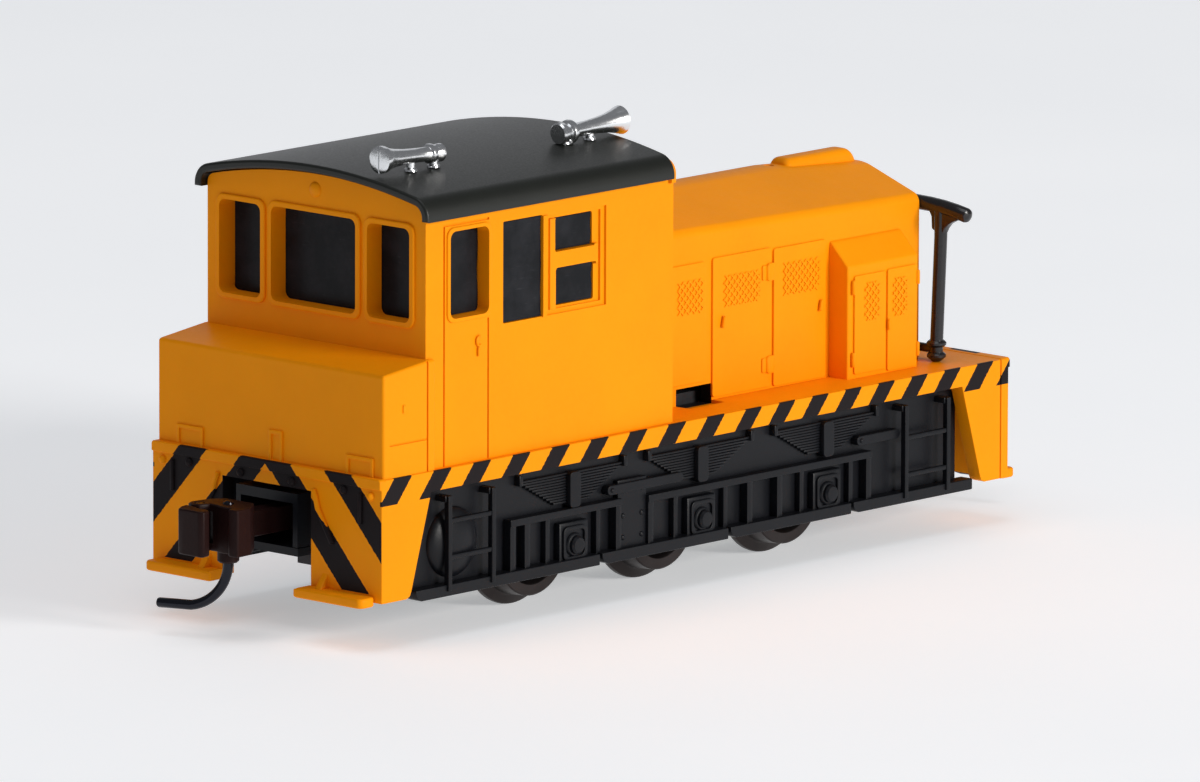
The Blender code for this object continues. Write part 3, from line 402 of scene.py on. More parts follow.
def publish(name, body, slot, solids, cuts=(), replaces=(), place=None):
    """One finished piece: the union of the solids less the cuts, in metres, riding on its body."""
    obj = mesh_object(name, solids[0])
    if len(solids) > 1:
        combine("UNION", obj, solids[1:])
    if cuts:
        combine("DIFFERENCE", obj, cuts)
    mesh = obj.data
    if place is not None:
        mesh.transform(place)
    mesh.transform(Matrix.Scale(MM, 4) @ Matrix.Translation((0, 0, FLANGE_DEPTH)))
    mesh.name = name
    mesh.materials.clear()
    mesh.materials.append(MATERIALS[slot])
    mesh.shade_smooth()
    mesh.set_sharp_from_angle(angle=SMOOTH_ANGLE)
    normals = obj.modifiers.new("normals", "WEIGHTED_NORMAL")
    normals.keep_sharp = True
    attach(obj, body)
    if replaces:
        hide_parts(*replaces)
    return obj


# ---- materials


class Graph:
    """Short ways to add nodes to one material."""

    def __init__(self, name):
        self.material = bpy.data.materials.new(name)
        self.material.use_nodes = True
        self.tree = self.material.node_tree
        place = self.tree.nodes.new("ShaderNodeTexCoord")
        scale = self.tree.nodes.new("ShaderNodeVectorMath")
        scale.operation = "SCALE"
        self.fill(scale, {0: place.outputs["Object"], "Scale": 1 / MM})
        self.millimetres = scale.outputs[0]

    def fill(self, node, values):
        """Gives a node's inputs their values, or links them to the outputs of other nodes."""
        for key, value in values.items():
            if isinstance(value, bpy.types.NodeSocket):
                self.tree.links.new(value, node.inputs[key])
            else:
                node.inputs[key].default_value = value

    def surface(self, values):
        self.fill(self.tree.nodes["Principled BSDF"], values)

    def math(self, operation, a, b=0.0):
        node = self.tree.nodes.new("ShaderNodeMath")
        node.operation = operation
        self.fill(node, {0: a, 1: b})
        return node.outputs[0]

    def plus(self, a, b):
        return self.math("ADD", a, b)

    def minus(self, a, b):
        return self.math("SUBTRACT", a, b)

    def above(self, value, level):
        return self.math("GREATER_THAN", value, level)

    def below(self, value, level):
        return self.math("LESS_THAN", value, level)

    def product(self, *values):
        result = values[0]
        for value in values[1:]:
            result = self.math("MULTIPLY", result, value)
        return result

    def stripes(self, value, start, pitch, share):
        """1 in the first share of every pitch, counted from the start, and 0 in the rest."""
        turns = self.math("DIVIDE", self.minus(value, start), pitch)
        return self.below(self.math("FLOORED_MODULO", turns, 1.0), share)

    def noise(self, scale, detail=3.0, roughness=0.55, stretch=(1, 1, 1)):
        stretched = self.tree.nodes.new("ShaderNodeVectorMath")
        stretched.operation = "MULTIPLY"
        self.fill(stretched, {0: self.millimetres, 1: stretch})
        node = self.tree.nodes.new("ShaderNodeTexNoise")
        self.fill(node, {"Vector": stretched.outputs[0], "Scale": scale})
        self.fill(node, {"Detail": detail, "Roughness": roughness})
        return node.outputs["Fac"]

    def ramp(self, value, low, high, to_low, to_high):
        node = self.tree.nodes.new("ShaderNodeMapRange")
        self.fill(node, {"Value": value, "From Min": low, "From Max": high})
        self.fill(node, {"To Min": to_low, "To Max": to_high})
        return node.outputs["Result"]

    def blend(self, share, a, b):
        node = self.tree.nodes.new("ShaderNodeMix")
        node.data_type = "RGBA"
        self.fill(node, {0: share, 6: a, 7: b})
        return node.outputs[2]

    def relief(self, height, distance_mm, under=None):
        node = self.tree.nodes.new("ShaderNodeBump")
        self.fill(node, {"Height": height, "Distance": distance_mm * MM})
        if under:
            self.fill(node, {"Normal": under})
        return node.outputs["Normal"]


def shade(colour, factor):
    return (*[min(1.0, channel * factor) for channel in colour], 1.0)


def finish(name, colour, roughness, metallic, mottle, grain, relief, specular=0.5, stretch=(1, 1, 1)):
    """A satin, cast or plated surface: mottled colour, uneven gloss and a fine grain."""
    graph = Graph(name)
    cloud = graph.noise(0.35, 4.0)
    fine = graph.noise(grain, 4.0, 0.6, stretch)
    share = graph.ramp(cloud, 0.3, 0.7, 0, 1)
    mottled = graph.blend(share, shade(colour, 1 - mottle), shade(colour, 1 + mottle))
    gloss = graph.ramp(fine, 0.3, 0.7, roughness * 0.88, min(1.0, roughness * 1.12))
    graph.surface({"Base Color": mottled, "Roughness": gloss, "Normal": graph.relief(fine, relief)})
    graph.surface({"Metallic": metallic, "Specular IOR Level": specular})
    return graph.material


ORANGE = (0.94, 0.300, 0.0015)
# the black of the printed stripes, also used as painted shade inside the coupler openings and hatches
STRIPE_AND_SHADE_BLACK = (0.014, 0.011, 0.012)
SIDE_REAR_START = -25.05
SIDE_REAR_PITCH = 3.122
SIDE_CHANGE_X = 3.05
SIDE_FRONT_PITCH = 2.743
SIDE_SHARE = (0.450, 0.485)
SIDE_LEAN = 0.82
SIDE_LEVEL = 8.0  # the height at which the starts above are measured
CORNER_X = 21.0  # beyond this the stripes run on over the corner skirts
CORNER_DROP = 0.28
OPENING_X = 24.0
END_PITCH = 5.03
END_START = 8.72
END_SHARE = 0.447
END_SLOPE = 1.10


def body_paint():
    """Orange plastic with black stripes, slanting on the sill and like rafters on the end plates.

    The insides of the coupler openings and of the hatches in the hood's sides are coloured black as painted
    shade.
    """
    graph = Graph("body_orange")
    split = graph.tree.nodes.new("ShaderNodeSeparateXYZ")
    ragged = graph.ramp(graph.noise(5.0, 2.0), 0.3, 0.7, -0.03, 0.03)
    graph.fill(split, {0: graph.millimetres})
    x = split.outputs[0]
    along_x = graph.math("ABSOLUTE", x)
    across_y = graph.math("ABSOLUTE", split.outputs[1])
    height = graph.minus(split.outputs[2], FLANGE_DEPTH)

    along = graph.minus(x, graph.product(graph.minus(height, SIDE_LEVEL), SIDE_LEAN))
    along = graph.plus(along, ragged)
    rear_bands = graph.stripes(along, SIDE_REAR_START, SIDE_REAR_PITCH, SIDE_SHARE[0])
    front_bands = graph.stripes(along, SIDE_CHANGE_X, SIDE_FRONT_PITCH, SIDE_SHARE[1])
    ahead = graph.above(along, SIDE_CHANGE_X)
    behind = graph.minus(1.0, ahead)
    pattern = graph.plus(graph.product(rear_bands, behind), graph.product(front_bands, ahead))
    corner = graph.above(along_x, CORNER_X)
    lower_edge = graph.minus(DECK_BOTTOM - 0.02, graph.product(corner, CORNER_DROP))
    side = graph.product(
        pattern,
        graph.above(across_y, HALF_WIDTH - 0.13),
        graph.above(height, lower_edge),
        graph.below(height, DECK_TOP + 0.02),
    )

    rafter = graph.plus(graph.plus(graph.product(across_y, END_SLOPE), height), ragged)
    end = graph.product(
        graph.stripes(rafter, END_START, END_PITCH, END_SHARE),
        graph.above(rafter, END_START),
        graph.above(along_x, -REAR_END - 0.22),
        graph.above(height, STEP_TOP + 0.02),
        graph.below(across_y, HALF_WIDTH - 0.03),
    )
    # painted shade: the inside faces of the coupler openings are coloured black
    opening_shade = graph.product(
        graph.above(along_x, OPENING_X),
        graph.below(across_y, OPENING_HALF + 0.03),
        graph.below(height, OPENING_TOP + 0.02),
        graph.above(height, STEP_TOP),
    )
    # painted shade: the inside faces of the hatch slots in the hood's sides are coloured black
    hatch_shade = graph.product(
        graph.above(x, HATCH_X[0] - 0.15),
        graph.below(x, HATCH_X[1] + 0.15),
        graph.below(across_y, HOOD_HALF - 0.01),
        graph.below(height, HATCH_TOP + 0.05),
    )
    # the black share: printed stripes on the sill and end plates, plus painted shade inside the openings
    # and hatches
    stripes_and_shade = side
    for area in (end, opening_shade, hatch_shade):
        stripes_and_shade = graph.math("MAXIMUM", stripes_and_shade, area)

    cloud = graph.ramp(graph.noise(0.22, 4.0), 0.3, 0.7, 0, 1)
    speck = graph.ramp(graph.noise(3.5, 5.0, 0.6), 0.35, 0.65, 0, 1)
    orange = graph.blend(cloud, shade(ORANGE, 0.955), shade(ORANGE, 1.03))
    orange = graph.blend(graph.product(speck, 0.35), orange, shade((0.90, 0.315, 0.003), 1.0))
    colour = graph.blend(stripes_and_shade, orange, shade(STRIPE_AND_SHADE_BLACK, 1.0))
    gloss = graph.ramp(graph.noise(6.0, 4.0, 0.6), 0.3, 0.7, 0.40, 0.50)
    swell = graph.relief(graph.noise(0.8, 2.0), 0.030)
    grain = graph.relief(graph.noise(11.0, 4.0, 0.6), 0.004, under=swell)
    graph.surface({"Base Color": colour, "Roughness": gloss, "Normal": grain, "Specular IOR Level": 0.07})
    return graph.material


def window_tint():
    """Dark inserts with a faint milky haze and fine scuffs."""
    graph = Graph("smoked_glazing")
    haze = graph.ramp(graph.noise(0.55, 5.0, 0.6), 0.40, 0.75, 0, 1)
    scuffs = graph.ramp(graph.noise(2.2, 4.0, 0.7, (0.4, 0.4, 2.6)), 0.60, 0.72, 0, 0.35)
    colour = graph.blend(haze, (0.008, 0.009, 0.011, 1), (0.020, 0.021, 0.025, 1))
    colour = graph.blend(scuffs, colour, (0.040, 0.042, 0.048, 1))
    gloss = graph.ramp(haze, 0, 1, 0.30, 0.42)
    swell = graph.relief(graph.noise(1.4, 2.0), 0.010)
    graph.surface({"Base Color": colour, "Roughness": gloss, "Normal": swell, "Specular IOR Level": 0.10})
    return graph.material


# Colour, roughness, metal, mottling, fineness and depth in mm of the grain, then specular and stretch
FINISHES = {
    "roof_black": ((0.0065, 0.0078, 0.0055), 0.42, 0.0, 0.12, 9.0, 0.005, 0.42),
    "plated_horn": ((0.80, 0.81, 0.82), 0.22, 1.0, 0.04, 4.0, 0.008),
    "gloss_black": ((0.010, 0.009, 0.010), 0.20, 0.0, 0.20, 3.0, 0.010),
    "frame_black": ((0.0055, 0.0062, 0.0085), 0.38, 0.0, 0.18, 7.0, 0.004, 0.20),
    "chassis_zinc": ((0.055, 0.056, 0.060), 0.48, 0.85, 0.10, 5.0, 0.015),
    "wheel_metal": ((0.040, 0.033, 0.032), 0.38, 0.90, 0.25, 4.0, 0.006),
    "motor_steel": ((0.55, 0.56, 0.58), 0.30, 1.0, 0.10, 6.0, 0.006, 0.5, (0.2, 3, 3)),
    "magnet": ((0.060, 0.060, 0.065), 0.62, 0.0, 0.20, 9.0, 0.020),
    "carbon": ((0.022, 0.022, 0.022), 0.70, 0.0, 0.20, 10.0, 0.020),
    "brass": ((0.70, 0.48, 0.17), 0.30, 1.0, 0.08, 5.0, 0.006),
    "gear_nylon": ((0.75, 0.73, 0.66), 0.45, 0.0, 0.05, 6.0, 0.006),
    "insulator": ((0.70, 0.68, 0.60), 0.50, 0.0, 0.06, 6.0, 0.006),
    "coupler_brown": ((0.015, 0.0055, 0.0050), 0.40, 0.0, 0.20, 5.0, 0.010, 0.10),
    "blued_steel": ((0.010, 0.011, 0.018), 0.16, 0.6, 0.20, 4.0, 0.006),
    "screw_steel": ((0.50, 0.50, 0.52), 0.30, 1.0, 0.06, 6.0, 0.006),
}


def make_materials():
    """The procedural material of every slot."""
    materials = {"body_orange": body_paint(), "smoked_glazing": window_tint()}
    for name, values in FINISHES.items():
        materials[name] = finish(name, *values)
    return materials


MATERIALS = make_materials()


# ---- body


def roof_outline(inset, eave):
    """The cross-section of the roof, or one inset from it: eaves, round shoulders and a shallow arch."""
    half = ROOF_HALF - inset
    crown = ROOF_CROWN - inset
    radius = max(0.2, ROOF_SHOULDER_R - inset)
    shoulder_steps, arch_steps = 10, 14
    right = [(half, eave)]
    for step in range(shoulder_steps + 1):
        angle = step / shoulder_steps * math.radians(78)
        drop = ROOF_SAG + radius * (1 - math.sin(angle))
        right.append((half - radius * (1 - math.cos(angle)), crown - drop))
    edge, edge_height = right[-1]
    for step in range(1, arch_steps):
        out = edge * (1 - step / arch_steps)
        right.append((out, crown - (crown - edge_height) * (out / edge) ** 2))
    left = [(-out, height) for out, height in reversed(right)]
    return [*right, (0, crown), *left]


def end_plate(plate, out):
    """The striped plate at one end, with its rim, footsteps, gussets and moulded fittings."""
    half = HALF_WIDTH
    outline = quarter_arc(half, PLATE_TOP, 0.18, 4)
    outline += [(-y, z) for y, z in reversed(outline)]
    rim = [(y * 0.9995, z) for y, z in outline]
    rim += [(-half, RIM_FOOT), (half, RIM_FOOT)]
    outline += [(-half, SKIRT_BOTTOM), (-OPENING_HALF, SKIRT_BOTTOM), (-OPENING_HALF, OPENING_TOP)]
    outline += [(OPENING_HALF, OPENING_TOP), (OPENING_HALF, SKIRT_BOTTOM), (half, SKIRT_BOTTOM)]

    def at(reach):
        return plate + out * reach

    def along(near, far):
        return sorted((at(near), at(far)))

    shapes = [soften(prism(outline, "x", *along(-PLATE, -FACE_BACK)), 0.06, 2)]
    shapes.append(soften(prism(rim, "x", *along(-0.5, 0)), 0.07, 3))
    for side in (-1, 1):
        foot = prism(rounded(*along(-0.2, 1.05), *across(side, 2.90, 8.15), 0.38), "z", 1.90, 2.45)
        shapes.append(soften(foot, 0.13, 3))
        middle = side * 4.40
        gusset = [(at(-0.2), 2.3), (at(0.62), 2.3), (at(-0.2), 3.32)]
        shapes.append(soften(prism(gusset, "y", middle - 0.22, middle + 0.22), 0.05, 2))
        backing = across(side, OPENING_HALF, half - 0.14)
        shapes.append(block(along(-PLATE - 0.3, -PLATE + 0.1), backing, (SKIRT_BOTTOM + 0.02, DECK_BOTTOM)))
        for y, z in ((7.80, 7.92), (5.80, 8.02), (1.92, 7.96)):
            shapes.append(dome("x", (at(-FACE_BACK), side * y, z), 0.25, 0.24, out))
        # The hoses and grab irons that are moulded on the plate
        bar = [(at(-0.06), side * 7.05, z) for z in (7.95, 6.35)]
        shapes.append(pipe(bar, 0.13, 10))
        hose = [(at(-0.04), side * (3.62 + 0.10 * i), 7.7 - 0.26 * i) for i in range(3)]
        hose += [(at(-0.04), side * (3.95 + 0.17 * i), 6.7 - 0.28 * i) for i in range(7)]
        shapes.append(pipe(hose, 0.16, 10))
    return shapes


def deck():
    low, high = REAR_END + PLATE - 0.3, FRONT_END - PLATE + 0.3
    half = HALF_WIDTH
    slab = block((low, high), (-half, half), (DECK_BOTTOM, DECK_TOP))
    shapes = [soften(slab, 0.07, 2, lambda middle, along: abs(along.x) > 0.9)]
    top = DECK_BOTTOM + 0.25
    for edge, inward in ((low, 1), (high, -1)):
        for side in (-1, 1):
            outline = [(0.0, SKIRT_BOTTOM), (1.68, SKIRT_BOTTOM), (1.95, SKIRT_BOTTOM + 0.12)]
            outline += [(2.07, SKIRT_BOTTOM + 0.35), (3.63, DECK_BOTTOM), (3.63, top), (0.0, top)]
            outline = [(edge + inward * reach, z) for reach, z in outline]
            skirt = prism(outline, "y", *across(side, half - SKIRT_WALL, half))
            shapes.append(soften(skirt, 0.05, 2, lambda middle, along: abs(middle.x - edge) > 0.1))
    return shapes


def vent_box():
    """The raised box on the crown: an arched section with a blunt rear end and a long rounded nose."""
    low, high = VENT_BOX_X
    foot = HOOD_SECTIONS[-1][2] - 0.5
    ends = [(low - reach, top) for reach, top in quarter_arc(0, VENT_BOX_TOP, REAR_ROUND, 4)]
    ends += reversed(quarter_arc(high, VENT_BOX_TOP, NOSE_ROUND, 10))
    sections = []
    for x, top in ends:
        half = VENT_BOX_HALF - 0.25 * (VENT_BOX_TOP - top)
        radius = min(0.50, top - foot - 0.05)
        arc = quarter_arc(half, top, radius, 6)
        outline = [(-half, foot), (half, foot), *arc, *[(-y, z) for y, z in reversed(arc)]]
        sections.append([(x, y, z) for y, z in outline])
    return loft(sections)


def long_hood():
    """The hood, whose crown falls towards the front, with the box on top of it and the side cabinets."""
    sections = []
    for x, shoulder, crown, crown_half in HOOD_SECTIONS:
        outline = (
            (-HOOD_HALF, WALL_FOOT),
            (HOOD_HALF, WALL_FOOT),
            (HOOD_HALF, shoulder),
            (crown_half, crown),
            (-crown_half, crown),
            (-HOOD_HALF, shoulder),
        )
        sections.append([(x, y, z) for y, z in outline])
    hood = loft(sections)
    soften(hood, 0.42, 5, lambda middle, along: abs(along.x) > 0.9 and middle.z > 15, angle=10)
    soften(hood, 0.12, 3, lambda middle, along: middle.x > HOOD_FRONT - 0.3)
    shapes = [hood, vent_box()]
    for side in (-1, 1):
        cabinet = [
            (side * (HOOD_HALF - 0.6), WALL_FOOT),
            (side * CABINET_HALF, WALL_FOOT),
            (side * CABINET_HALF, 15.20),
            (side * (HOOD_HALF + 0.55), 16.05),
            (side * (HOOD_HALF + 0.12), 16.48),
            (side * (HOOD_HALF - 0.6), 16.60),
        ]
        shapes.append(soften(prism(cabinet, "x", *CABINET_X), 0.13, 3, angle=15))
    return shapes


def nose_grille():
    """A shallow frame with sloping slats on the front of the hood."""
    half, foot, head = 3.60, 10.60, 16.40
    border, slats = 0.32, 12
    thickness = (HOOD_FRONT - 0.10, HOOD_FRONT + 0.12)
    shapes = []
    for side in (-1, 1):
        shapes.append(soften(block(thickness, across(side, half - border, half), (foot, head)), 0.05, 2))
    for z in (foot, head - border):
        shapes.append(soften(block(thickness, (-half, half), (z, z + border)), 0.05, 2))
    pitch = (head - foot - 2 * border) / slats
    for slat in range(slats):
        z = foot + border + (slat + 0.2) * pitch
        outline = [(thickness[0], z), (thickness[1] - 0.03, z), (thickness[0], z + 0.7 * pitch)]
        shapes.append(prism(outline, "y", 0.1 - half, half - 0.1))
    return shapes


def rear_hood():
    rear_top, cab_top = 14.52, 14.94
    outline = (
        (REAR_HOOD_X, WALL_FOOT),
        (CAB_REAR + 0.5, WALL_FOOT),
        (CAB_REAR + 0.5, cab_top),
        (CAB_REAR, cab_top),
        (REAR_HOOD_X, rear_top),
    )
    shapes = [soften(prism(outline, "y", -REAR_HOOD_HALF, REAR_HOOD_HALF), 0.18, 3)]
    for y0, y1, top in ((4.96, 6.97, 10.0), (-1.0, 0.05, 10.57), (-7.78, -5.74, 9.95)):
        outer = rounded(y0, y1, DECK_TOP - 0.2, top, 0.08)
        inner = rounded(y0 + 0.22, y1 - 0.22, DECK_TOP + 0.05, top - 0.22, 0.05)
        shapes.append(frame_ring(outer, inner, "x", REAR_HOOD_X - 0.12, REAR_HOOD_X + 0.1, 0.04))
    low, high = REAR_HOOD_HALF - 0.1, REAR_HOOD_HALF + 0.08
    for side in (-1, 1):
        shapes.append(panel(side, (-23.56, -23.36), (12.3, 12.75), low, high, 0.04))
    return shapes


def cab():
    wall_top = 22.42
    under_roof = roof_outline(ROOF_HALF - CAB_HALF, wall_top)
    outline = [(-CAB_HALF, WALL_FOOT), (CAB_HALF, WALL_FOOT), *under_roof]
    walls = prism(outline, "x", CAB_REAR, CAB_FRONT)
    soften(walls, 0.15, 3, lambda middle, along: abs(along.z) > 0.9)
    gable = prism(roof_outline(0.35, ROOF_EAVE - 0.3), "x", ROOF_X[1] + 0.06, CAB_FRONT + 0.005)
    shapes = [walls, soften(gable, 0.08, 2, lambda middle, along: middle.x > CAB_FRONT - 0.1)]
    for window in REAR_WINDOWS:
        outer = rounded(*grown(window, 0.30), 0.55, 6)
        shapes.append(soften(prism(outer, "x", CAB_REAR - 0.16, CAB_REAR + 0.2), 0.09, 3))
    shapes.append(dome("x", (CAB_REAR + 0.05, 0.05, 23.25), 0.45, 0.22, -1, 24))
    for side in (-1, 1):
        outer = rounded(*grown(DOOR_WINDOW, 0.22), 0.5, 6)
        lip = prism(outer, "y", *across(side, CAB_HALF - 0.2, CAB_HALF + 0.10))
        shapes.append(soften(lip, 0.06, 3))
        shapes.append(panel(side, (-12.28, -11.85), (16.05, 21.65), CAB_HALF - 0.2, CAB_HALF + 0.10))
        shapes += door_handle(side)
    return shapes


def door_handle(side):
    y = side * (CAB_HALF + 0.08)
    hook = []
    for step in range(9):
        angle = math.radians(60 + 240 * step / 8)
        hook.append((-17.30 + 0.20 * math.cos(angle), y, 15.42 + 0.26 * math.sin(angle)))
    bar = [(-17.36, y, 15.05), (-17.36, y, 14.62)]
    return [pipe(hook, 0.07, 8), pipe(bar, 0.07, 8)]


def body_cuts():
    """The hollow inside, the openings in the end plates, the hatches and the windows."""
    lining = (-LINING_HALF, LINING_HALF)
    cuts = [
        block((CAB_REAR + CAB_WALL, CAB_FRONT - CAB_WALL), lining, (DECK_BOTTOM - 1, CAB_CEILING)),
        block((REAR_HOOD_X + 0.8, CAB_REAR + 2), lining, (DECK_BOTTOM - 1, 13.70)),
        block((CAB_FRONT - 2, HOOD_FRONT - 0.8), (-4.40, 4.40), (DECK_BOTTOM - 1, 17.70)),
        block(HATCH_X, (-6.2, 6.2), (DECK_TOP - 0.2, HATCH_TOP)),
        turned(((19.6, 0.30), (20.6, 0.30)), "z", (14.95, -0.05, 0), 20),
    ]
    for reach in ((REAR_END - 1, REAR_END + 1.5), (FRONT_END - 1.5, FRONT_END + 1)):
        cuts.append(block(reach, (-OPENING_HALF, OPENING_HALF), (SKIRT_BOTTOM - 1, OPENING_TOP)))
    for side in (-1, 1):
        outside = across(side, CAB_HALF - 2, CAB_HALF + 1)
        corners = [(DOOR_WINDOW, 0.42, 6), (OPEN_WINDOW, 0.06, 2), *[(sash, 0.12, 3) for sash in SASHES]]
        for window, radius, steps in corners:
            cuts.append(prism(rounded(*window, radius, steps), "y", *outside))
    for window in REAR_WINDOWS:
        cuts.append(prism(rounded(*window, 0.42, 6), "x", CAB_REAR - 1, CAB_REAR + 2))
    for window in FRONT_WINDOWS:
        cuts.append(prism(rounded(*window, 0.42, 6), "x", CAB_FRONT - 2, CAB_FRONT + 1))
    return cuts


def groove_cuts():
    """Shallow lines and steps in the side walls: doors, sash frames and panel joints."""
    cuts = []
    for side in (-1, 1):
        cab_y = across(side, CAB_HALF - 0.11, CAB_HALF + 0.3)
        cuts.append(block((-20.06, -19.94), cab_y, (DECK_TOP, 22.05)))
        cuts.append(block((-20.06, -16.46), cab_y, (21.98, 22.10)))
        cuts.append(block((-16.58, -16.46), cab_y, (DECK_TOP, 16.60)))
        x0, x1, z0, z1 = SASH_FRAME
        steps = ((0.0, 0.13), (0.33, 0.26))
        for inset, depth in steps:
            reach = across(side, CAB_HALF - depth, CAB_HALF + 0.3)
            cuts.append(block((x0 + inset, x1 - inset), reach, (z0 + inset * 0.8, z1 - inset * 0.6)))
        hood_y = across(side, REAR_HOOD_HALF - 0.12, REAR_HOOD_HALF + 0.3)
        cuts.append(block((-21.66, -21.54), hood_y, (DECK_TOP, 15.2)))
        cuts.append(block((-24.55, -21.60), hood_y, (10.60, 10.72)))
        joint = (FRONT_END - PLATE - 0.14, FRONT_END - PLATE - 0.04)
        plate_y = across(side, HALF_WIDTH - 0.10, HALF_WIDTH + 0.3)
        cuts.append(block(joint, plate_y, (SKIRT_BOTTOM - 0.2, DECK_TOP + 0.5)))
    return cuts


def side_glazing():
    """The sheet inside each cab side, with panes that stand out into its openings."""
    inside = CAB_HALF - CAB_WALL
    for side, word in ((-1, "right"), (1, "left")):
        thickness = across(side, inside - 0.63, inside - 0.08)
        shapes = [soften(block((-19.60, -7.25), thickness, (15.60, CAB_CEILING - 0.12)), 0.04, 1)]
        panes = [(window, CAB_HALF - 0.32) for window in SASHES]
        panes.append((OPEN_WINDOW, CAB_HALF - 0.06))
        panes.append((DOOR_WINDOW, CAB_HALF - 0.72))
        for (x0, x1, z0, z1), face in panes:
            pane = [(x0 + 0.03, z1 - 0.04), (x0 + 0.03, z0 + 0.04)]
            for step in range(9):
                share = step / 8
                wave = PANE_WAVE * math.sin(share * 5.2 + x1) ** 2
                pane.append((x1 - 0.03 - wave, z0 + 0.04 + (z1 - z0 - 0.08) * share))
            shapes.append(soften(prism(pane, "y", *across(side, inside - 0.2, face)), 0.03, 2, angle=50))
        name = f"glazing_panes_{word}"
        publish(name, "locomotive", "smoked_glazing", shapes, replaces=[f"glazing_{word}"])


def sash_bars():
    """The sash that stands in the stepped frame; its two panes are cut with the other windows."""
    shapes = []
    for side in (-1, 1):
        out = across(side, CAB_HALF - 0.6, CAB_HALF - 0.02)
        shapes.append(soften(block((-11.60, -7.75), out, (18.45, 19.60)), 0.07, 2))
        shapes.append(soften(block((-11.60, -11.10), out, (16.35, 21.38)), 0.07, 2))
    return shapes


def body_shell():
    """The orange moulding. The sash bars come after the steps that they stand in."""
    solids = [*deck(), *end_plate(REAR_END, -1), *end_plate(FRONT_END, 1)]
    solids += [*long_hood(), *rear_hood(), *cab()]
    obj = mesh_object("body_shell_visual", solids[0])
    combine("UNION", obj, solids[1:])
    combine("DIFFERENCE", obj, groove_cuts())
    combine("UNION", obj, [*sash_bars(), *nose_grille()])
    combine("DIFFERENCE", obj, body_cuts())
    shape = bmesh.new()
    shape.from_mesh(obj.data)
    bpy.data.objects.remove(obj)
    publish("body_moulding", "locomotive", "body_orange", [shape], replaces=["body_shell"])


def doors(side, wall, stand, corner, leaves, screens):
    """The leaves of the doors on a wall, and their pressed screens."""
    shapes = [panel(side, x, z, wall - 0.3, wall + stand, 0.05, corner) for x, z in leaves]
    for x, z in screens:
        shapes += diamond_screen(side, x, z, wall + stand)
    return shapes


def hood_doors():
    """Doors on the hood and the cabinets, with pressed screens, hinges and latches."""
    for side, word in ((-1, "right"), (1, "left")):
        wall = HOOD_HALF
        shapes = doors(side, wall, 0.13, 0.18, HOOD_DOORS, HOOD_SCREENS)
        for z in (15.45, 10.25):
            shapes.append(panel(side, (8.58, 8.95), (z - 0.42, z + 0.42), wall, wall + 0.22, 0.05, 0.1))
            shapes.append(panel(side, (9.02, 9.58), (z - 0.50, z + 0.50), wall, wall + 0.24, 0.05, 0.12))
            shapes.append(pin(9.0, side * (wall + 0.20), z, 0.36, 0.12, 12))
        for x, z in ((5.30, 13.10), (13.30, 13.0)):
            latch = [(x, side * (wall + 0.26), z - 0.20), (x + 0.12, side * (wall + 0.26), z + 0.32)]
            shapes.append(pipe(latch, 0.11, 10))
        publish(f"hood_doors_{word}", "locomotive", "body_orange", shapes)

        wall = CABINET_HALF
        shapes = doors(side, wall, 0.12, 0.15, CABINET_DOORS, CABINET_SCREENS)
        for x, z in ((14.66, 14.02), (14.66, 9.95), (20.0, 13.95), (20.0, 9.9)):
            shapes.append(pin(x, side * (wall + 0.10), z, 0.34, 0.13, 12))
        shapes.append(pin(17.52, side * (wall + 0.20), 11.60, 0.25, 0.10, 10))
        publish(f"cabinet_doors_{word}", "locomotive", "body_orange", shapes)


# ---- roof, horns and handrail


def cab_roof():
    outer = roof_outline(0, ROOF_EAVE)
    inner = roof_outline(ROOF_SKIN, ROOF_EAVE)
    outline = [*outer, *reversed(inner)]
    roof = prism(outline, "x", *ROOF_X)
    soften(roof, 0.16, 4, lambda middle, along: abs(along.x) < 0.5, angle=60)
    publish("roof_panel", "locomotive", "roof_black", [roof], replaces=["cab_roof"])


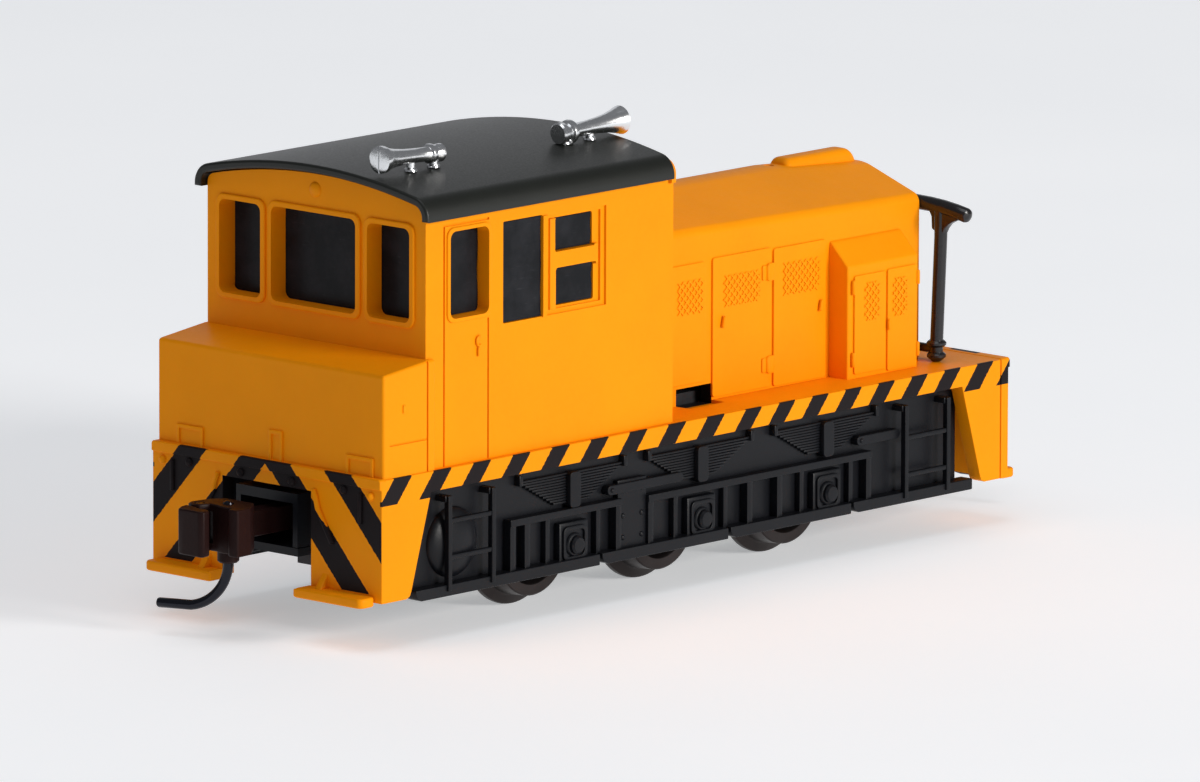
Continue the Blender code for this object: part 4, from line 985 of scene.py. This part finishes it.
def horn(name, mouth_x, cap_x, mouth_height, cap_height, flare):
    """A trumpet along X on two feet: a bell, a slim throat, a raised ring and a round cap."""
    length = abs(cap_x - mouth_x)
    if flare:
        tail = 0.62
        bell = ((0.0, 0.0), (0.12, 0.40), (0.03, 0.66), (0.0, 0.75), (0.05, 0.80), (0.14, 0.78))
        throat = ((0.55, 0.66), (1.10, 0.54), (1.90, 0.45), (2.80, 0.40), (length - 1.20, 0.39))
    else:
        tail = 0.50
        bell = ((0.0, 0.0), (0.0, 0.63), (0.05, 0.75), (0.30, 0.75), (0.42, 0.71))
        throat = ((0.75, 0.58), (1.20, 0.50), (1.90, 0.43), (2.70, 0.40), (length - 1.15, 0.39))
    ring = [(length - 1.10, 0.42), (length - 1.05, tail + 0.03), (length - 0.92, tail + 0.06)]
    ring += [(length - 0.78, tail + 0.03), (length - 0.72, tail - 0.10), (length - 0.50, tail - 0.08)]
    ring += [(length - 0.40, tail - 0.02), (length - 0.10, tail), (length, tail - 0.08), (length, 0.0)]
    trumpet = turned([*bell, *throat, *ring], "x", (0, 0, 0))
    direction = Vector((cap_x - mouth_x, 0, cap_height - mouth_height)).normalized()
    turn = Vector((1, 0, 0)).rotation_difference(direction).to_matrix().to_4x4()
    place = Matrix.Translation((mouth_x, HORN_Y, mouth_height)) @ turn
    bmesh.ops.transform(trumpet, matrix=place, verts=trumpet.verts)
    shapes = [trumpet]
    toward = math.copysign(1, cap_x - mouth_x)
    surface = ROOF_CROWN - ROOF_SAG * (HORN_Y / 7.7) ** 2
    for out in (2.50, length - 0.60):
        x = mouth_x + toward * out
        foot = [(surface + 0.02, 0.0), (surface + 0.02, 0.36), (surface + 0.12, 0.34)]
        foot += [(surface + 0.22, 0.24), (mouth_height - 0.2, 0.22), (mouth_height - 0.1, 0.0)]
        shapes.append(turned(foot, "z", (x, HORN_Y, 0), 20))
    cuts = []
    if not flare:
        seam = (mouth_x - 0.2, mouth_x + 0.07)
        cuts.append(block(seam, (HORN_Y - 0.045, HORN_Y + 0.045), (mouth_height - 1, mouth_height + 1)))
    publish(name + "_trumpet", "locomotive", "plated_horn", shapes, cuts, replaces=[name])


def front_handrail():
    """A rail with drooping ends on two leaning posts, a lower bar, foot collars and gussets."""
    foot_x, top_x, top, post = 21.97, 22.29, 17.68, 6.38
    tube = 0.37
    half_rail = [(0, top), (4.2, top), (5.6, top - 0.03), (6.6, top - 0.10)]
    half_rail += [(7.5, top - 0.22), (8.25, top - 0.36)]
    rail = [(top_x, -y, z) for y, z in reversed(half_rail)] + [(top_x, y, z) for y, z in half_rail[1:]]
    shapes = [pipe(rail, 0.42)]
    shapes.append(pipe([(foot_x + 0.05, -post, 9.55), (foot_x + 0.05, post, 9.55)], 0.25))
    for side in (-1, 1):
        y = side * post
        stand = [(foot_x, y, 9.05), (foot_x, y, 9.8), (top_x - 0.02, y, 15.9), (top_x - 0.02, y, top)]
        shapes.append(pipe(stand, tube))
        for low, high, radius in ((9.72, 10.08, 0.56), (9.02, 9.40, 0.54)):
            shapes.append(rod("z", (foot_x, y, 0), radius, low, high, 28, 0.12))
        outer = [(0.30, 16.10), (0.46, 16.42), (0.70, 16.68), (1.05, 16.88)]
        outer += [(1.45, 17.02), (1.75, 17.20), (1.8, 17.4)]
        inner = [(-0.25, 16.20), (-0.52, 16.30), (-0.55, 17.0), (-0.75, 17.35)]
        web = [(side * (post + reach), z) for reach, z in [*outer, (0.0, top), *reversed(inner)]]
        shapes.append(soften(prism(web, "x", top_x - 0.26, top_x + 0.26), 0.10, 3, angle=50))
    publish("end_handrail", "locomotive", "gloss_black", shapes, replaces=["front_handrail"])


# ---- side frames


def side_frame_shapes():
    """One frame drawn on the positive side: bars, spring packs, axle boxes, ladders and an air tank."""
    shapes = [soften(block((-22.50, 22.30), (FRAME_BACK, FRAME_PLATE), (2.00, 7.60)), 0.05, 1)]
    back = FRAME_PLATE - 0.1

    def bar(x0, x1, z0, z1, face=FRAME_FACE, edge=0.05):
        shapes.append(soften(block((x0, x1), (back, face), (z0, z1)), edge, 2))

    def bolt(x, z, y, radius=0.16):
        shapes.append(dome("y", (x, y, z), radius, 0.10, 1, 10))

    bar(-14.65, -5.75, 4.75, 5.15)
    bar(-3.60, 14.70, 4.62, 5.02)
    for x in (-14.65, -13.50, -6.20, -3.60, 4.45, 6.90, 14.25):
        bar(x, x + 0.45, 2.10, 5.00, FRAME_FACE - 0.05)
    bar(-5.85, -3.55, 2.10, 6.10, 7.90)
    for x in (-5.45, -3.95):
        for z in (2.9, 4.1, 5.5):
            bolt(x, z, 7.90)
    for x0, x1 in ((-6.80, -0.70), (13.55, 17.10)):
        arm = prism(rounded(x0, x1, 5.40, 5.94, 0.26, 4), "y", back, 8.05)
        shapes.append(soften(arm, 0.05, 2))
        bolt(x0 + 0.35, 5.67, 8.05, 0.14)
    for x0, x1 in ((-22.30, -7.70), (-7.50, 2.70), (2.90, 12.80), (13.00, 22.90)):
        beam = [(x0, 2.35), (x1, 2.35), (x1, 1.72), (x0 + 0.45, 1.72), (x0 + 0.12, 1.85), (x0, 2.1)]
        shapes.append(soften(prism(beam, "y", back, 8.32), 0.06, 2))
    for x in JOURNALS:
        bar(x - 1.15, x + 1.15, 1.97, 4.37, 7.98, 0.10)
        frame_out = rounded(x - 0.95, x + 0.95, 2.25, 4.15, 0.35)
        frame_in = rounded(x - 0.72, x + 0.72, 2.48, 3.92, 0.25)
        shapes.append(frame_ring(frame_out, frame_in, "y", 7.9, 8.12, 0.04))
        for offset in (-2.20, 1.85):
            bar(x + offset, x + offset + 0.35, 2.10, 4.80, 7.92)
        cap = [(back, 0.66), (8.05, 0.66), (8.12, 0.60), (8.14, 0.52)]
        cap += [(8.30, 0.50), (8.42, 0.40), (FRAME_OUTER, 0.0)]
        shapes.append(turned(cap, "y", (x, 0, JOURNAL_HEIGHT), 32))
        leaves = 11
        for leaf in range(leaves):
            z = 5.42 + leaf * 0.155
            half = 1.45 + (4.25 - 1.45) * leaf / (leaves - 1)
            bar(x - half, x + half, z, z + 0.125, 7.80, 0.03)
        buckle = prism(rounded(x - 0.43, x + 0.43, 5.15, 7.15, 0.25), "y", back, 8.12)
        shapes.append(soften(buckle, 0.06, 2))
        for offset in (-4.30, 4.05):
            bar(x + offset, x + offset + 0.28, 6.85, 7.45, 7.95)
    for ladder, rungs in (((-19.75, -16.30), (3.85, 5.85)), ((17.25, 20.75), (3.30, 5.40))):
        for x in ladder:
            shapes.append(soften(block((x - 0.15, x + 0.15), (8.10, FRAME_OUTER), (2.00, 7.25)), 0.05, 2))
            bar(x - 0.25, x + 0.25, 6.90, 7.25, 8.30)
        for z in rungs:
            shapes.append(soften(block(ladder, (8.14, 8.40), (z - 0.13, z + 0.13)), 0.05, 2))
    tank = [(back, 1.98), (FRAME_PLATE, 1.98), *dome_profile(FRAME_PLATE, 0.62, 1.96, 8)]
    shapes.append(turned(tank, "y", (-18.78, 0, 4.50), FINE))
    return shapes


def side_frames():
    for name, side in (("left", 1), ("right", -1)):
        mirror = Matrix.Scale(-1, 4, (0, 1, 0)) if side < 0 else Matrix.Identity(4)
        shapes = side_frame_shapes()
        replaced = [f"side_frame_{name}"]
        piece = f"side_frame_casting_{name}"
        obj = publish(piece, "locomotive", "frame_black", shapes, (), replaced, mirror)
        if side < 0:
            obj.data.flip_normals()


# ---- wheels


def wheels():
    """Six wheels with their half axles, each from (distance out of the centre line, radius) points."""
    half_axle = ((0.25, 0.0), (0.25, 0.50), (1.72, 0.50), (1.72, 0.75), (3.80, 0.75))
    flange = ((3.80, 3.30), (3.86, 3.43), (4.0, 3.45), (4.16, 3.42), (4.27, 3.24), (4.34, 2.96))
    tread = ((4.44, 2.86), (5.68, 2.78), (5.75, 2.70))
    face = ((5.75, 2.18), (5.70, 2.10), (5.48, 1.95), (5.45, 1.90), (5.45, 1.0))
    face += ((5.58, 0.92), (5.62, 0.80), (5.62, 0.0))
    for name, x in AXLES.items():
        for word, side in (("left", 1), ("right", -1)):
            points = [(side * along, radius) for along, radius in (*half_axle, *flange, *tread, *face)]
            wheel = turned(points, "y", (x, 0, AXLE_HEIGHT), 72)
            holes = []
            for step in range(6):
                angle = math.tau * step / 6
                centre = (x + 1.45 * math.cos(angle), 0, AXLE_HEIGHT + 1.45 * math.sin(angle))
                holes.append(rod("y", centre, 0.26, *across(side, 5.25, 6.2), 16))
            piece, replaced = f"wheel_turning_{name}_{word}", [f"wheel_{name}_{word}"]
            publish(piece, f"{name}_wheelset", "wheel_metal", [wheel], holes, replaced)


# ---- couplers


def coupler_place(end):
    facing = Matrix.Rotation(math.pi, 4, "Z") if end == "rear" else Matrix.Identity(4)
    return Matrix.Translation(facing @ Vector((PIVOT_X, 0, 0))) @ facing


def bore(x, y, radius, steps=24):
    return rod("z", (x, y, 0), radius, COUPLER_LOW - 1, COUPLER_HIGH + 1, steps)


def mould(kind, end, suffix, body, slot, shapes, cuts=()):
    """Publishes a piece of one coupler, drawn pointing along +X from the pivot."""
    name = f"{kind}_{end}"
    publish(f"{name}_{suffix}", body, slot, shapes, cuts, [name], coupler_place(end))


def coupler_head(end):
    low, high, middle = COUPLER_LOW, COUPLER_HIGH, COUPLER_MIDDLE
    u, v = KNUCKLE_PIVOT
    body = [(5.10, -1.05), (5.90, -1.60), (6.90, -1.80), (6.90, -0.05), (7.05, 0.25)]
    body += [(7.05, 1.15), (7.45, 1.35), (7.40, 2.00), (6.30, 1.95), (5.10, 1.05)]
    lug = [(5.90, -1.60), (7.10, -1.80), (7.55, -1.55), (7.70, -1.15)]
    lug += [(7.55, -0.75), (7.10, -0.55), (5.90, -0.55)]
    shapes = [
        soften(prism(body, "z", low, high), 0.10, 3),
        soften(block((0, 5.60), (-0.62, 0.62), (middle - 0.70, middle + 0.70)), 0.10, 3),
        rod("z", (0, 0, 0), 0.80, middle - 0.70, middle + 0.70),
        rod("z", (*TRIP_PIN_AT, 0), TRIP_BOSS_R, TRIP_BEND_TOP, low + 0.2, 32, 0.10),
        soften(prism(lug, "z", low, low + 0.42), 0.07, 2),
        soften(prism(lug, "z", high - 0.42, high), 0.07, 2),
    ]
    slot_for_knuckle = rod("z", (u, v, 0), 0.85, low + 0.42, high - 0.42, FINE, 0.02)
    cuts = [slot_for_knuckle, bore(u, v, 0.29), bore(*TRIP_PIN_AT, 0.33), bore(0, 0, 0.45)]
    mould("coupler_head", end, "moulding", f"{end}_coupler", "coupler_brown", shapes, cuts)


def knuckle(end):
    low, high = COUPLER_LOW, COUPLER_HIGH
    u, v = KNUCKLE_PIVOT
    neck = ((u, v - 0.60), (u + 0.95, v - 0.35), (u + 1.00, v + 0.45), (u, v + 0.55))
    finger = [(u + 0.68, v - 0.34), (u + 1.25, v - 0.20), (8.85, -1.05), (8.90, -0.60), (8.90, 0.55)]
    finger += [(8.75, 0.78), (8.25, 0.72), (8.05, 0.45), (8.05, -0.35), (u + 0.80, v + 0.60)]
    shapes = [
        rod("z", (u, v, 0), 0.60, low + 0.50, high - 0.50, 32),
        soften(prism(neck, "z", low + 0.50, high - 0.50), 0.06, 2),
        soften(prism(finger, "z", low + 0.04, high - 0.04), 0.11, 3),
    ]
    mould("knuckle", end, "moulding", f"{end}_knuckle", "coupler_brown", shapes, [bore(u, v, 0.29)])


def trip_pin(end):
    """A straight wire through the head that bends down and inwards to its tip."""
    u, v = TRIP_PIN_AT
    route = [(u, v, z) for z in (COUPLER_HIGH + 0.03, 6.0, 5.0, TRIP_BEND_TOP)]
    for step in range(1, 17):
        angle = step / 16 * math.radians(80)
        sideways = TRIP_BEND_R * (1 - math.cos(angle))
        drop = TRIP_BEND_R * math.sin(angle)
        route.append((u + 0.30 * sideways, v - sideways, TRIP_BEND_TOP - drop))
    last = Vector(route[-1])
    route += [tuple(last + Vector((0.27, -0.95, -0.02)) * TRIP_TIP * share) for share in (0.4, 0.92)]
    mould("trip_pin", end, "wire", f"{end}_coupler", "blued_steel", [pipe(route, 0.28, 24)])


def centring_spring(end):
    coil = []
    turns, radius, sides = 5, 0.33, 14
    for step in range(turns * sides + 1):
        angle = math.tau * step / sides
        along = -0.30 + 0.60 * step / (turns * sides)
        coil.append((-1.32 + radius * math.cos(angle), along, COUPLER_MIDDLE + radius * math.sin(angle)))
    mould("centring_spring", end, "coil", "locomotive", "screw_steel", [pipe(coil, 0.045, 8)])


# ---- carried-over pieces, floor, lights, camera


def dress_cad_nodes():
    """Every node that still shows gets the procedural material of its slot."""
    slots = {row["node"]: row["material_slot"] for row in frame["record"]["subparts"]}
    for name, obj in frame["nodes"].items():
        if obj.hide_render:
            continue
        material = MATERIALS[slots[name]]
        if obj.material_slots:
            for holder in obj.material_slots:
                holder.material = material
        else:
            obj.data.materials.append(material)


def studio():
    """A pale paper floor, a key light from the right side, a wide overhead light and a weak far one."""
    sheet = bmesh.new()
    bmesh.ops.create_grid(sheet, x_segments=8, y_segments=8, size=1.5)
    mesh = bpy.data.meshes.new("paper_floor")
    sheet.to_mesh(mesh)
    sheet.free()
    floor = add_object("paper_floor", mesh)
    graph = Graph("paper")
    tone = graph.ramp(graph.noise(0.02, 4.0), 0.3, 0.7, 0, 1)
    paper = graph.blend(tone, (0.80, 0.81, 0.83, 1), (0.84, 0.845, 0.86, 1))
    graph.surface({"Base Color": paper, "Roughness": 0.9})
    graph.surface({"Emission Color": (0.96, 0.98, 1.0, 1), "Emission Strength": 0.38})
    mesh.materials.append(graph.material)

    world = bpy.data.worlds.new("soft_room")
    world.use_nodes = True
    sky = world.node_tree.nodes["Background"]
    sky.inputs["Color"].default_value = (0.93, 0.95, 1.0, 1)
    sky.inputs["Strength"].default_value = 0.19
    bpy.context.scene.world = world

    add_light("key", (0.15, -0.86, 0.25), 0.26, 6.3, (1.0, 0.97, 0.93))
    add_light("overhead", (-0.22, -0.05, 0.95), 0.70, 2.3, (0.95, 0.97, 1.0))
    add_light("backdrop", (0.85, 0.80, 0.32), 0.90, 1.2, (0.95, 0.97, 1.0))


def add_light(name, place, size, power, colour):
    light = bpy.data.lights.new(name, "AREA")
    light.size = size
    light.energy = power
    light.color = colour
    obj = add_object(name, light)
    obj.location = place
    obj.rotation_mode = "QUATERNION"
    obj.rotation_quaternion = (Vector((0, 0, 0.012)) - Vector(place)).to_track_quat("-Z", "Y")


def camera():
    target = Vector((4.55, 0.0, 8.60)) * MM
    distance = 945.6 * MM
    azimuth = math.radians(-47.36)
    elevation = math.radians(10.53)
    roll = math.radians(-0.21)
    level = math.cos(elevation)
    back = Vector((math.sin(azimuth) * level, -math.cos(azimuth) * level, math.sin(elevation)))
    data = bpy.data.cameras.new("camera")
    data.sensor_width = 36
    data.lens = 512.46
    data.shift_x = -0.0340
    data.shift_y = 0.01026
    data.clip_start = 0.05
    data.clip_end = 10
    obj = add_object("camera", data)
    obj.location = target + back * distance
    obj.rotation_mode = "QUATERNION"
    turn = (-back).to_track_quat("-Z", "Y")
    obj.rotation_quaternion = turn @ Matrix.Rotation(-roll, 3, "Z").to_quaternion()
    bpy.context.scene.camera = obj


def main():
    body_shell()
    hood_doors()
    side_glazing()
    cab_roof()
    horn("horn_rear", -21.10, -16.20, 25.34, 25.17, False)
    horn("horn_front", -1.90, -6.95, 25.22, 25.02, True)
    front_handrail()
    side_frames()
    wheels()
    for end in ("rear", "front"):
        coupler_head(end)
        knuckle(end)
        trip_pin(end)
        centring_spring(end)
    dress_cad_nodes()
    studio()
    camera()
    bpy.context.scene.view_settings.view_transform = "Standard"


main()
